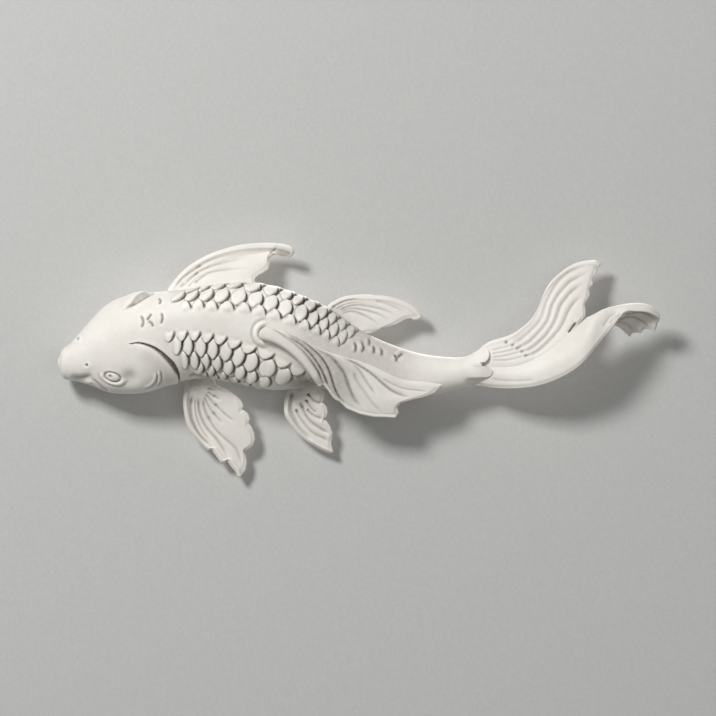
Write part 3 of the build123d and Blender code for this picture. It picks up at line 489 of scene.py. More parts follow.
def smooth(low, high, value):
    """0 on low's side, 1 on high's side and an S-shaped run between them."""
    share = np.clip((value - low) / (high - low), 0.0, 1.0)
    return share * share * (3.0 - 2.0 * share)


def hill(away, wide):
    """1 at no distance and a bell-shaped fall to either side."""
    return np.exp(-(away / wide) ** 2)


def spline(knots, values, where):
    """A cubic curve with free ends through the values at the knots."""
    gap = np.diff(knots)
    slope = np.diff(values, axis=0) / gap[:, None]
    bends = np.eye(len(knots))
    turn = np.zeros_like(values)
    for i in range(1, len(knots) - 1):
        bends[i, i - 1:i + 2] = gap[i - 1], 2.0 * (gap[i - 1] + gap[i]), gap[i]
        turn[i] = 6.0 * (slope[i] - slope[i - 1])
    bend = np.linalg.solve(bends, turn)
    k = np.clip(np.searchsorted(knots, where) - 1, 0, len(knots) - 2)
    after = (where - knots[k])[:, None]
    span = gap[k][:, None]
    start = slope[k] - span * (2.0 * bend[k] + bend[k + 1]) / 6.0
    bent = bend[k] / 2.0 + after * (bend[k + 1] - bend[k]) / (6.0 * span)
    return values[k] + after * (start + after * bent)


def run_of(points):
    """Distance along a line of points, in the plane of the wall."""
    steps = np.linalg.norm(np.diff(points[:, :2], axis=0), axis=1)
    return np.concatenate(([0.0], np.cumsum(steps)))


def respaced(line, run, count):
    """Evenly spaced points along a line, given the distance along it at each of its own points."""
    where = np.linspace(0.0, run[-1], count)
    return np.stack([np.interp(where, run, line[:, k]) for k in range(line.shape[1])], axis=1)


def flowing(points, count):
    """Evenly spaced points along a smooth edge through the measured ones."""
    points = np.array(points, float)
    run = run_of(points)
    return spline(run, points, np.linspace(0.0, run[-1], count))


def ragged(points, count, rounding=0.8):
    """Evenly spaced points along a torn-looking edge: straight stretches with rounded corners."""
    points = np.array(points, float)
    run = run_of(points)
    step = 0.2
    line = respaced(points, run, int(run[-1] / step))
    reach = int(3.0 * rounding / step)
    weights = hill(np.arange(-reach, reach + 1) * step, 1.4 * rounding)
    weights /= weights.sum()
    before = 2.0 * line[0] - line[reach:0:-1]
    after = 2.0 * line[-1] - line[-2:-reach - 2:-1]
    longer = np.concatenate((before, line, after))
    line = np.stack([np.convolve(longer[:, k], weights, "valid") for k in range(3)], axis=1)
    return respaced(line, run_of(line), count)


def from_line(x, z, path):
    """Distance in the wall's plane from each point to a line, plus on its left and minus on its right, and
    the share of the line that lies before the nearest spot."""
    length = run_of(np.array(path, float))[-1]
    path = flowing(path, max(8, int(length / LINE_STEP)))
    nearest = np.full(x.shape, np.inf)
    side = np.zeros(x.shape)
    passed = np.zeros(x.shape)
    for k in range(len(path) - 1):
        run_x, run_z = path[k + 1] - path[k]
        off_x, off_z = x - path[k, 0], z - path[k, 1]
        share = np.clip((off_x * run_x + off_z * run_z) / (run_x ** 2 + run_z ** 2), 0.0, 1.0)
        away = np.hypot(off_x - share * run_x, off_z - share * run_z)
        closer = away < nearest
        nearest = np.where(closer, away, nearest)
        side = np.where(closer, np.sign(run_x * off_z - run_z * off_x), side)
        passed = np.where(closer, (k + share) / (len(path) - 1), passed)
    return nearest * side, passed


def dying_out(passed, full, fading):
    """1 along a line between two shares of it, and a smooth fall to 0 at both of its ends."""
    return smooth(0.0, full, passed) * smooth(1.0, fading, passed)


def blur(heights, reach):
    """Average of each spot's surroundings, reach cells to either side."""
    for axis in (0, 1):
        rows = np.moveaxis(heights, axis, 0)
        first, last = np.repeat(rows[:1], reach + 1, axis=0), np.repeat(rows[-1:], reach, axis=0)
        total = np.cumsum(np.concatenate((first, rows, last)), axis=0)
        rows = (total[2 * reach + 1:] - total[:-2 * reach - 1]) / (2 * reach + 1)
        heights = np.moveaxis(rows, 0, axis)
    return heights


def normals_of(sheet):
    """Unit normals of a grid of points, towards the room on the whole."""
    normal = np.cross(np.gradient(sheet, axis=0), np.gradient(sheet, axis=1))
    normal /= np.maximum(np.linalg.norm(normal, axis=2, keepdims=True), 1e-9)
    return normal if normal[..., 1].mean() < 0.0 else -normal


def grid_faces(rows, columns, closed=False):
    """Four-sided faces over a grid of vertices, closed round its columns if asked."""
    r = np.arange(rows - 1)[:, None]
    c = np.arange(columns if closed else columns - 1)[None, :]
    d = (c + 1) % columns
    corners = (r * columns + c, (r + 1) * columns + c, (r + 1) * columns + d, r * columns + d)
    return np.stack([k.ravel() for k in corners], axis=1)


def casting_piece(name, node, points, faces, wash):
    """A cast piece made from points in millimetres. Its wash says where the umber stays and, in places, where
    shade is painted.
    """
    mesh = bpy.data.meshes.new(name)
    mesh.from_pydata((np.asarray(points) * MM).tolist(), [], [list(f) for f in faces])
    kept = mesh.attributes.new("wash", "FLOAT", "POINT")
    kept.data.foreach_set("value", np.asarray(wash, dtype=np.float32))
    shaper = bmesh.new()
    shaper.from_mesh(mesh)
    bmesh.ops.recalc_face_normals(shaper, faces=shaper.faces)
    shaper.to_mesh(mesh)
    shaper.free()
    mesh.polygons.foreach_set("use_smooth", [True] * len(mesh.polygons))
    mesh.set_sharp_from_angle(angle=math.radians(SHARP_ANGLE))
    piece = bpy.data.objects.new(name, mesh)
    bpy.context.scene.collection.objects.link(piece)
    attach(piece, "root")
    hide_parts(node)
    return piece


def quarter(*pulls):
    """Points as depth and Z along a cubic curve with these four pulls."""
    a, b, c, d = (np.array(p) for p in pulls)
    t = np.linspace(0.0, 1.0, CURVE_POINTS)[:, None]
    return a * (1 - t) ** 3 + 3 * b * (1 - t) ** 2 * t + 3 * c * (1 - t) * t ** 2 + d * t ** 3


def skin_section(top, bottom, ridge, deep, widest, back, set_in):
    """One section of the skin as depth and Z, from the flat back's top edge round the front to its bottom
    edge."""
    flank = widest - back
    rise = (deep - widest) * FULLNESS
    near_back = back + BACK_PULL * flank
    near_edge = widest - EDGE_PULL * flank
    upper, lower = ridge + (top - ridge) * FULLNESS, ridge + (bottom - ridge) * FULLNESS
    pull = SET_IN_PULL * set_in
    line = np.concatenate((
        quarter((back, top - set_in), (near_back, top - pull), (near_edge, top), (widest, top)),
        quarter((widest, top), (widest + rise, top), (deep, upper), (deep, ridge))[1:],
        quarter((deep, ridge), (deep, lower), (widest + rise, bottom), (widest, bottom))[1:],
        quarter((widest, bottom), (near_edge, bottom), (near_back, bottom + pull),
                (back, bottom + set_in))[1:],
    ))
    line = line[line[:, 0] >= 0.0]
    step = np.linalg.norm(np.diff(line, axis=0), axis=1)
    crowd = np.where(line[1:, 0] >= widest - HIDDEN_MARGIN, 1.0, HIDDEN_CROWDING)
    return respaced(line, np.concatenate(([0.0], np.cumsum(step * crowd))), SKIN_COLUMNS)


def body_skin():
    """Rows and columns of the plain skin, before the scales and the face are cut into it, and the rows'
    sizes."""
    stations = np.concatenate((
        np.arange(NOSE_END, FLANK_START, HEAD_STEP),
        np.arange(FLANK_START, STEM_START, FLANK_STEP),
        np.linspace(STEM_START, STEM_END, int((STEM_END - STEM_START) / STEM_STEP)),
    ))
    sizes = spline(BODY_ROWS[:, 0], BODY_ROWS[:, 1:], stations)
    skin = np.zeros((len(stations), SKIN_COLUMNS, 3))
    for k, row in enumerate(sizes):
        section = skin_section(*row)
        skin[k, :, 0] = stations[k]
        skin[k, :, 1] = -section[:, 0]
        skin[k, :, 2] = section[:, 1]
    in_front = smooth(*COLLAR_FRONT, -skin[..., 1])
    end = STEM_END + (COLLAR_EDGE - STEM_END) * in_front
    for middle, half, tip in COLLAR_LOBES:
        off = (skin[..., 2] - middle) / half
        lobe = COLLAR_EDGE + (tip - COLLAR_EDGE) * np.sqrt(np.clip(1.0 - off ** 2, 0.0, 1.0))
        end = np.maximum(end, STEM_END + (lobe - STEM_END) * in_front)
    skin[..., 0] += (end - STEM_END) * smooth(COLLAR_START, STEM_END, skin[..., 0])
    return skin, sizes


def spot_on(skin, normal, x, z):
    """Row and column of the skin's spot that is seen at X and Z from the room."""
    out_of_sight = np.where(normal[..., 1] > 0.15, 1e4, 0.0)
    away = (skin[..., 0] - x) ** 2 + (skin[..., 2] - z) ** 2 + out_of_sight
    return np.unravel_index(np.argmin(away), away.shape)


def next_row(skin, spots, along, towards):
    """Spots of one more row of scales, a step further round the flank and half a scale further back."""
    further = []
    for row, column in spots:
        run = np.cumsum(np.linalg.norm(np.diff(skin[row, ::towards], axis=0), axis=1))
        place = column if towards == 1 else SKIN_COLUMNS - 1 - column
        k = np.searchsorted(run, run[min(place, len(run) - 1)] + ROW_STEP)
        if k < len(run) - 4:
            behind = min(row + int(0.5 * along / FLANK_STEP), len(skin) - 1)
            further.append((behind, k if towards == 1 else SKIN_COLUMNS - 1 - k))
    return further


def scale_list(skin, normal):
    """Every scale as its middle, its direction to the tail, its direction across, its radii, its clear side
    and how much of the ditch goes round its head side."""
    rows = []
    for number, (first, last, across, lean, clear, middles) in enumerate(SCALE_ROWS):
        spots = [spot_on(skin, normal, x, z) for x, z in middles]
        rows.append((spots, first, last, across, lean, clear))
        # Past the first and the last row one more goes on round the flank.
        if number in (0, len(SCALE_ROWS) - 1):
            further = next_row(skin, spots, first, -1 if number == 0 else 1)
            rows.append((further, first, last, across, (0.0, 0.0), 0))
    placed = []
    for spots, first, last, across, lean, clear in rows:
        points = np.array([skin[s] for s in spots])
        flow = np.gradient(points, axis=0)
        reach = np.linspace(first, last, len(spots))
        leans = np.radians(np.linspace(*lean, len(spots)))
        for k, spot in enumerate(spots):
            out = normal[spot]
            turn = leans[k]
            tailward = flow[k] - out * np.dot(flow[k], out)
            tailward /= np.linalg.norm(tailward)
            upward = np.cross(out, tailward)
            to_tail = tailward * math.cos(turn) + upward * math.sin(turn)
            across_it = upward * math.cos(turn) - tailward * math.sin(turn)
            # The scale leaves a gap to the next one, and its free end stays where it is.
            along = min(reach[k], 0.5 * (np.linalg.norm(flow[k]) * math.cos(turn) - SCALE_GAP))
            middle = points[k] + to_tail * (reach[k] - along)
            placed.append((middle, to_tail, across_it, along, across, clear, HEAD_DITCH if k else 0.0))
    # From the tail forwards, and the smooth back's own rows last, so that each scale lies over those behind.
    placed.sort(key=lambda scale: (abs(scale[5]), -scale[0][0]))
    return placed


def cut_scales(skin, normal):
    """Height of the overlapping scales over the plain skin, and where the wash stays between them."""
    height = np.zeros(skin.shape[:2])
    wash = np.zeros(skin.shape[:2])
    for middle, to_tail, across_it, along, across, clear, behind in scale_list(skin, normal):
        rows = np.abs(skin[:, 0, 0] - middle[0]) < along + SCALE_REACH
        off = skin[rows] - middle
        a, b = off @ to_tail, off @ across_it
        up = np.cross(to_tail, across_it)
        near = (np.abs(normal[rows] @ up) > 0.3) & (np.abs(off @ up) < SCALE_REACH)
        shown = near * (1.0 - SCALE_SINK * smooth(*SINKING, middle[0]))
        if clear:
            shown = shown * smooth(*CLEAR_EDGE, b * clear)
        out = np.hypot(a, b)
        reach = (np.abs(a / along) ** SCALE_POINT + (b / across) ** 2) ** SCALE_ROUND
        # Distance from the scale's edge, and how far the spot lies towards its free end, from -1 to 1.
        edge = (reach - 1.0) * (out + 0.01) / (reach + 0.01 / along)
        tailward = a / (out + 0.01)
        inside = smooth(SCALE_STEP, -SCALE_STEP, edge) * shown
        roll = SCALE_ROLL * hill(np.minimum(edge, 0.0), SCALE_ROLL_WIDTH)
        face = SCALE_LIFT * smooth(-along, 0.55 * along, a) - roll
        # Behind the free edge the next scale starts low: a dark ditch, wide at the tip and thin at the sides.
        wide = DITCH_WIDTH + DITCH_WIDENING * smooth(0.2, 0.95, tailward)
        free = (behind + (1.0 - behind) * smooth(-0.55, 0.25, tailward)) * shown
        ditch = smooth(1.25 * wide, 0.4 * wide, edge) * smooth(-SCALE_STEP, 0.35, edge) * free
        slope = hill(np.maximum(edge, 0.0), SCALE_SLOPE_LENGTH) * smooth(0.0, 0.8, tailward) * free
        lower = height[rows] - SCALE_GROOVE * ditch - SCALE_SLOPE * slope
        height[rows] = lower * (1.0 - inside) + np.maximum(face, 0.0) * inside
        wash[rows] = np.maximum(wash[rows] * (1.0 - inside), ditch)
    facing = np.abs(normal[..., 1])
    calm = OUTLINE_LIFT + (1.0 - OUTLINE_LIFT) * smooth(0.1, 0.5, facing)
    return height * calm, wash * smooth(-0.1, 0.25, facing)


def cut_gills(x, z):
    """Height and wash of both gill covers: a raised edge, and behind it a gap."""
    away, passed = from_line(x, z, GILL_LINE)
    wide = np.interp(passed, *np.transpose(GILL_GAP))
    gap = smooth(-0.5, 0.6, away) * smooth(wide + 0.5, wide - 0.6, away)
    lifted = smooth(0.0, 0.3, passed) * smooth(0.4, -0.9, away)
    height = COVER_LIFT * lifted * hill(np.minimum(away + 1.2, 0.0), COVER_WIDTH) - GILL_DEPTH * gap
    # The far cover is seen from its edge: a shaded face falls from the cover to the body.
    over, _ = from_line(x, z, FAR_COVER_LINE)
    past, passed = from_line(x, z, FAR_GILL_LINE)
    opened = smooth(0.0, 0.45, passed)
    fall = np.clip(-over / np.maximum(past - over, 0.05), 0.0, 1.0)
    top = FAR_COVER_LIFT * hill(over, FAR_COVER_WIDTH)
    cover = np.where(over > 0.0, top, FAR_COVER_LIFT - FAR_COVER_FALL * fall)
    height += opened * np.where(past > 0.0, cover, -FAR_GROOVE * hill(past, FAR_GROOVE_WIDTH))
    # The falling face is painted darker as well: painted shade.
    wash = np.maximum(gap, 0.45 * opened * smooth(0.2, -0.6, over) * smooth(-0.4, 0.2, past))
    groove_wash = 0.75 * hill(past, 0.8) * smooth(0.05, 0.3, passed) * smooth(1.0, 0.9, passed)
    return height, np.maximum(wash, groove_wash)


def cut_eye(x, z):
    """Height and wash of the near eye: a ball in a socket, a thick lower lid and a hollow behind it."""
    tilt = math.radians(EYE_TILT)
    off_x, off_z = x - EYE_MIDDLE[0], z - EYE_MIDDLE[1]
    a = off_x * math.cos(tilt) - off_z * math.sin(tilt)
    b = off_x * math.sin(tilt) + off_z * math.cos(tilt)

    def out_from(shift_a, shift_b):
        """Distance from a point by the eye's middle, with 1 at the eye's own outline."""
        return np.hypot((a - shift_a) / EYE_HALF[0], (b - shift_b) / EYE_HALF[1])

    reach = out_from(0.0, 0.0)
    socket = hill(reach - 0.94, 0.15)
    ball = np.sqrt(np.clip(1.0 - (reach / 0.92) ** 2, 0.0, 1.0))
    pupil = hill(np.hypot((a - PUPIL[0]) / PUPIL_STRETCH, b - PUPIL[1]), PUPIL_WIDTH)
    lid = hill(out_from(0.8, -0.4) - 1.3, 0.26) * smooth(2.0, -2.0, b)
    under_lid = hill(out_from(1.0, -0.6) - 1.75, 0.2) * smooth(1.0, -2.5, b)
    hollow = hill(np.hypot(x - EYE_HOLLOW[0], z - EYE_HOLLOW[1]), EYE_HOLLOW_SIZE)
    height = EYE_BALL_RISE * ball + LID_RISE * lid - SOCKET_DEPTH * socket - PUPIL_DEPTH * pupil
    height -= UNDER_LID_DEPTH * under_lid + EYE_HOLLOW_DEPTH * hollow
    wash = np.maximum(socket * (0.2 + 0.65 * smooth(-2.5, 2.0, b - 0.2 * a)), 0.85 * pupil)
    # The hollow behind the eye is painted darker: partly wash, partly painted shade.
    return height, np.maximum(wash, 0.32 * hollow)


def cut_face(skin, normal):
    """Height over the plain skin of everything that is carved beside the scales, and its wash."""
    x, z = skin[..., 0], skin[..., 2]
    height, wash = cut_gills(x, z)
    eye, eye_wash = cut_eye(x, z)
    height += eye
    wash = np.maximum(wash, eye_wash)

    for lines, wide, deep, dark in FURROWS:
        for line in lines:
            away, passed = from_line(x, z, line)
            cut = hill(away, wide) * dying_out(passed, FURROW_END, 1.0 - FURROW_END)
            height -= deep * cut
            wash = np.maximum(wash, dark * cut)
    for lines, ends, (beside, roll_wide, rise), (wide, deep), (wash_wide, dark) in ROLLED_FURROWS:
        for line in lines:
            away, passed = from_line(x, z, line)
            shown = dying_out(passed, *ends)
            height += shown * (rise * hill(away + beside, roll_wide) - deep * hill(away, wide))
            wash = np.maximum(wash, dark * shown * hill(away, wash_wide))

    # The stem swells into the collar round the tail, and below the lobes it runs in under the tail's rim.
    at_collar = smooth(COLLAR_START, COLLAR_EDGE, x)
    height += COLLAR_RISE * at_collar * smooth(*COLLAR_FOOT, z)
    height -= COLLAR_DIP * at_collar * smooth(*COLLAR_DIP_TOP, z)

    for nostril_x, nostril_z in NOSTRILS:
        off_x, off_z = x - nostril_x, z - nostril_z
        hole = hill(np.hypot(off_x, off_z), NOSTRIL_SIZE)
        rim = hill(np.hypot(off_x - NOSTRIL_RIM[0], off_z - NOSTRIL_RIM[1]), NOSTRIL_RIM_SIZE)
        height += NOSTRIL_RIM_RISE * rim - NOSTRIL_DEPTH * hole
        wash = np.maximum(wash, hole)

    # A raised ring runs round the front of the dorsal fin's root.
    out = np.hypot(x - FIN_RING[0], z - FIN_RING[1])
    ahead = smooth(*FIN_RING_FRONT, x - FIN_RING[0])
    height += ahead * sum(rise * hill(out - radius, wide) for radius, wide, rise in FIN_RING_ROLLS)
    ring_wash = ahead * sum(dark * hill(out - radius, wide) for radius, wide, dark in FIN_RING_WASH)
    wash = np.maximum(wash, ring_wash)

    facing = smooth(-0.1, 0.2, -normal[..., 1])
    return height * facing, wash * facing


def body_wash_and_shade(skin, height, scale_wash, face_wash):
    """Where the wash stays on the body, between the scales and in the carved lines and hollows, and the
    painted shade that darkens the rump and the belly."""
    x, z = skin[..., 0], skin[..., 2]
    gathered = THIN_WASH + (blur(height, GATHER_REACH) - height) / GATHER_DEPTH
    between = np.maximum(scale_wash, np.clip(gathered, 0.0, GATHER_MOST))
    on_belly = smooth(*BELLY_TOP, z)
    faint = (1.0 - on_belly) * smooth(*BACK_FAINT, x) + on_belly * smooth(*BELLY_FAINT, x)
    between = THIN_WASH + (between - THIN_WASH) * (1.0 - FAINT_SHARE * faint)
    # Painted shade: the rump and the belly by the left pelvic fin's root are darkened in colour.
    wash = np.maximum(between, face_wash) + RUMP_PAINTED_SHADE * smooth(*RUMP_START, x) * smooth(*RUMP_END, x)
    from_spot = np.hypot((x - BELLY_SPOT[0]) / BELLY_SPOT_STRETCH, z - BELLY_SPOT[1])
    return np.minimum(wash + BELLY_PAINTED_SHADE * hill(from_spot, BELLY_SPOT_SIZE), 1.0)


def make_body():
    """The hollow body casting: carved skin, flat back rim and the pocket that the back plate lies in."""
    skin, sizes = body_skin()
    normal = normals_of(skin)
    scales, scale_wash = cut_scales(skin, normal)
    face, face_wash = cut_face(skin, normal)
    # The flat back keeps the plain skin.
    column = np.linspace(0.0, 1.0, SKIN_COLUMNS)[None, :]
    height = (scales + face) * dying_out(column, FLAT_SHARE, 1.0 - FLAT_SHARE)
    wash = body_wash_and_shade(skin, height, scale_wash, face_wash)
    carved = skin + normal * height[..., None]
    carved[..., 1] = np.minimum(carved[..., 1], 0.0)

    # Behind the skin: rim, then the pocket's wall and floor, from the bottom edge back up to the top edge.
    x = skin[:, 0, 0]
    in_pocket = (x > PLATE_START) & (x < PLATE_END)
    top, bottom, set_in = sizes[:, 0], sizes[:, 1], sizes[:, 6]
    low = np.where(in_pocket, bottom + set_in + PLATE_RIM, skin[:, -1, 2])
    high = np.where(in_pocket, top - set_in - PLATE_RIM, skin[:, 0, 2])
    level = np.maximum(skin[:, 0, 1], skin[:, -1, 1])
    floor = np.where(in_pocket, -POCKET_DEPTH, level)
    corners = ((low, level), (low, floor), (high, floor), (high, level))
    behind = np.stack([np.stack((x, y, z), axis=1) for z, y in corners], axis=1)
    loop = np.concatenate((carved, behind), axis=1)

    # The nose and the stem are closed by rings that shrink to a point.
    closing = []
    for end, step in ((0, -NOSE_ROUNDING), (-1, 0.0)):
        centre = loop[end].mean(axis=0)
        rings = []
        for shrink in CLOSING_RINGS:
            ring = centre + (loop[end] - centre) * shrink
            ring[:, 0] += step * math.sqrt(1.0 - shrink ** 2)
            rings.append(ring)
        closing.append(np.stack(rings))
    loop = np.concatenate((closing[0][::-1], loop, closing[1]))
    rows, columns = loop.shape[:2]
    faces = [list(f) for f in grid_faces(rows, columns, closed=True)]
    faces.append(list(range(columns)))
    faces.append(list(range((rows - 1) * columns, rows * columns)))
    caps = len(CLOSING_RINGS)
    stain_and_shade = np.zeros((rows, columns))
    stain_and_shade[caps:-caps, :SKIN_COLUMNS] = wash
    stain_and_shade[-caps:] = STEM_END_WASH
    return casting_piece("body_casting", "body_shell", loop.reshape(-1, 3), faces, stain_and_shade.ravel())


def fin_side(edges, name, count):
    """Evenly spaced points along one side of a fin: the smooth part, then the torn part if there is one."""
    line = flowing(edges[name], 300)
    if name + "_torn" in edges:
        line = np.concatenate((line, ragged(edges[name + "_torn"], 400)[1:]))
    return respaced(line, run_of(line), count)


def evened(sheet, rounds):
    """The sheet with its inner points moved round by round, so that its rows and columns don't cross at a
    torn edge."""
    for _ in range(rounds):
        ahead, back = sheet[2:, 1:-1], sheet[:-2, 1:-1]
        right, left = sheet[1:-1, 2:], sheet[1:-1, :-2]
        along = 0.5 * (ahead - back)[..., :2]
        across = 0.5 * (right - left)[..., :2]
        wide = (across ** 2).sum(axis=2, keepdims=True) + 1e-6
        long = (along ** 2).sum(axis=2, keepdims=True) + 1e-6
        skew = (along * across).sum(axis=2, keepdims=True)
        corners = sheet[2:, 2:] - sheet[2:, :-2] - sheet[:-2, 2:] + sheet[:-2, :-2]
        pull = wide * (ahead + back) + long * (right + left)
        sheet[1:-1, 1:-1] = (pull - 0.5 * skew * corners) / (2.0 * (wide + long))
    return sheet


def fin_sheet(edges, along, across, rounds=200):
    """Middle sheet of a fin between its four edges, as rows from root to tip and columns from lead to
    trail."""
    root, tip = flowing(edges["root"], across), ragged(edges["tip"], across)
    lead, trail = fin_side(edges, "lead", along), fin_side(edges, "trail", along)
    s = np.linspace(0.0, 1.0, along)[:, None, None]
    t = np.linspace(0.0, 1.0, across)[None, :, None]
    sheet = (1 - s) * root[None] + s * tip[None] + (1 - t) * lead[:, None] + t * trail[:, None]
    sheet -= (1 - s) * ((1 - t) * root[0] + t * root[-1]) + s * ((1 - t) * tip[0] + t * tip[-1])
    sheet = evened(sheet, rounds)
    return np.stack((sheet[..., 0], -sheet[..., 2], sheet[..., 1]), axis=2)


def across_run(sheet):
    """Distance in mm from the leading edge along each row of a fin's sheet."""
    step = np.linalg.norm(np.diff(sheet, axis=1), axis=2)
    return np.concatenate((np.zeros((len(sheet), 1)), np.cumsum(step, axis=1)), axis=1)


def carve(sheet, cuts, pits=(), fade=0.8, pit_wash=PIT_WASH):
    """Depth of a fin's furrows and pits, and the wash that stays in them. Past the share fade a furrow runs
    out."""
    x, z = sheet[..., 0], sheet[..., 2]
    depth = np.zeros(x.shape)
    wash = np.zeros(x.shape)
    for wide, deep, dark, path in cuts:
        away, passed = from_line(x, z, path)
        ends = dying_out(passed, 0.12, fade)
        valley = 0.5 * hill(away, 2.2 * wide) + 0.5 * hill(away, 0.8 * wide)
        depth = np.maximum(depth, deep * ends * valley)
        wash = np.maximum(wash, dark * ends * hill(away, 0.8 * wide))
    for pit in pits:
        away, passed = from_line(x, z, pit)
        hole = hill(away, PIT_WIDTH * (1.0 - 0.5 * passed)) * smooth(1.0, 0.0, passed)
        depth += PIT_DEPTH * hole
        wash = np.maximum(wash, pit_wash * hole)
    return depth, wash


def stain_of(relief, wash):
    """Where the wash stays on a fin: a thin coat, more of it in the valleys, none on the ridges."""
    return np.clip(THIN_WASH + 0.3 * (blur(relief, 5) - relief) + wash, 0.0, 1.0)


def from_free_edge(sheet):
    """Distance in mm from a fin's free edges, all but its root, at each spot of its sheet."""
    rows, columns = sheet.shape[:2]
    out = np.linspace(0.0, 1.0, rows)[:, None]
    run = across_run(sheet)
    from_side = np.minimum(run, run[:, -1:] - run)
    from_tip = (1.0 - out) * np.linalg.norm(np.diff(sheet[:, columns // 2], axis=0), axis=1).sum()
    return np.minimum(from_side, from_tip)


def half_thickness(sheet, at_root, at_middle, at_edge):
    """Half the thickness over a fin: thick at the root, thinner in the middle and thinnest along the free
    edges."""
    out = np.linspace(0.0, 1.0, len(sheet))[:, None]
    inner = smooth(0.0, FREE_EDGE_WIDTH, from_free_edge(sheet))
    body = at_middle + (at_root - at_middle) * smooth(0.45, 0.0, out)
    return at_edge + (body - at_edge) * inner


def fin_shell(sheet, half, relief, stain_and_shade, rear_relief, rear_stain_and_shade):
    """Closed shell round a fin's sheet: both faces at half the thickness, joined by a rounded edge."""
    normal = normals_of(sheet)
    rows, columns = sheet.shape[:2]
    # However deep a cut is, a part of the thickness stays on its side.
    face = sheet + normal * np.maximum(half + relief, 0.25 * half)[..., None]
    rear = sheet - normal * np.maximum(half + rear_relief, 0.6 * half)[..., None]
    loop = [(0, c) for c in range(columns)] + [(r, columns - 1) for r in range(1, rows)]
    loop += [(rows - 1, c) for c in range(columns - 2, -1, -1)] + [(r, 0) for r in range(rows - 2, 0, -1)]
    at_edge = np.array([r * columns + c for r, c in loop])
    inner = np.array([min(max(r, 1), rows - 2) * columns + min(max(c, 1), columns - 2) for r, c in loop])
    flat = sheet.reshape(-1, 3)
    outward = flat[at_edge] - flat[inner]
    outward /= np.maximum(np.linalg.norm(outward, axis=1, keepdims=True), 1e-9)
    edge = 0.5 * (face.reshape(-1, 3)[at_edge] + rear.reshape(-1, 3)[at_edge])
    edge += outward * half.ravel()[at_edge][:, None] * EDGE_ROUNDING
    total = rows * columns
    points = np.concatenate((face.reshape(-1, 3), rear.reshape(-1, 3), edge))
    front = grid_faces(rows, columns)
    ring = np.arange(len(loop))
    after = (ring + 1) % len(loop)
    faces = np.concatenate((
        front, front[:, ::-1] + total,
        np.stack((at_edge, at_edge[after], 2 * total + after, 2 * total + ring), axis=1),
        np.stack((2 * total + ring, 2 * total + after, total + at_edge[after], total + at_edge), axis=1),
    ))
    edge_stain = stain_and_shade.ravel()[at_edge] * 0.5
    return points, faces, np.concatenate((stain_and_shade.ravel(), rear_stain_and_shade.ravel(), edge_stain))


def neck_wash_and_shade(sheet, amount):
    """Darkening round the neck of a fin and further out on the side of its leading edge: partly wash, partly
    painted shade where the fin meets the body.
    """
    out = np.linspace(0.0, 1.0, len(sheet))[:, None]
    over = np.linspace(0.0, 1.0, sheet.shape[1])[None, :]
    return amount * (0.6 * smooth(0.3, 0.0, out) + 0.4 * smooth(0.6, 0.1, out) * smooth(1.0, 0.3, over))


def fin_parts(sheet, half, roll, cuts, pits, fade=0.8, shade=0.0, spine=0.0, swell=0.0, pit_wash=PIT_WASH):
    """Points, faces and wash of a fin with a roll along its leading edge, furrows and pits, and maybe painted
    shade laid into the wash, a spine, and a rear that swells over the dowels near the root."""
    depth, wash = carve(sheet, cuts, pits, fade, pit_wash)
    rolled = roll * hill(across_run(sheet) - LEAD_ROLL_PLACE, LEAD_ROLL_WIDTH)
    relief = rolled + spine - depth
    out = np.linspace(0.0, 1.0, len(sheet))[:, None]
    rear = 0.4 * (rolled - depth) + swell * smooth(0.6, 0.25, out)
    # The free edges are rubbed clean.
    stain_and_shade = stain_of(relief, wash + shade) * smooth(-1.5, RUBBED_EDGE, from_free_edge(sheet))
    rear_stain_and_shade = np.full(depth.shape, REAR_WASH)
    return fin_shell(sheet, half_thickness(sheet, *half), relief, stain_and_shade, rear, rear_stain_and_shade)


def make_left_pectoral():
    """The front fin on the near side, a paddle with a torn end."""
    sheet = fin_sheet(LEFT_PECTORAL, 150, 150, rounds=900)
    parts = fin_parts(sheet, PADDLE_HALF, PADDLE_ROLL, LEFT_PECTORAL_CUTS, LEFT_PECTORAL_PITS,
                      shade=neck_wash_and_shade(sheet, 0.5), pit_wash=FAINT_PIT_WASH)
    return casting_piece("left_pectoral_casting", "left_pectoral_fin", *parts)


def make_left_pelvic():
    """The rear fin on the near side, a smaller paddle."""
    sheet = fin_sheet(LEFT_PELVIC, 140, 140)
    parts = fin_parts(sheet, PADDLE_HALF, PADDLE_ROLL, LEFT_PELVIC_CUTS, LEFT_PELVIC_PITS,
                      shade=neck_wash_and_shade(sheet, 0.65))
    return casting_piece("left_pelvic_casting", "left_pelvic_fin", *parts)


def make_right_pectoral():
    """The front fin on the far side, with a curled tip."""
    sheet = fin_sheet(RIGHT_PECTORAL, 160, 140)
    # The curled tip, where its underside is seen, is painted darker: painted shade.
    painted_curl_shade = 0.22 * smooth(33.0, 40.0, sheet[..., 0])
    parts = fin_parts(sheet, RIGHT_PECTORAL_HALF, RIGHT_PECTORAL_ROLL, RIGHT_PECTORAL_CUTS,
                      RIGHT_PECTORAL_PITS, fade=0.4, shade=painted_curl_shade, pit_wash=FAINT_PIT_WASH)
    return casting_piece("right_pectoral_casting", "right_pectoral_fin", *parts)


def make_right_pelvic():
    """The rear fin on the far side."""
    sheet = fin_sheet(RIGHT_PELVIC, 140, 140)
    parts = fin_parts(sheet, RIGHT_PELVIC_HALF, RIGHT_PELVIC_ROLL, RIGHT_PELVIC_CUTS, (), fade=0.6,
                      shade=neck_wash_and_shade(sheet, 0.3), swell=DOWEL_SWELL)
    return casting_piece("right_pelvic_casting", "right_pelvic_fin", *parts)


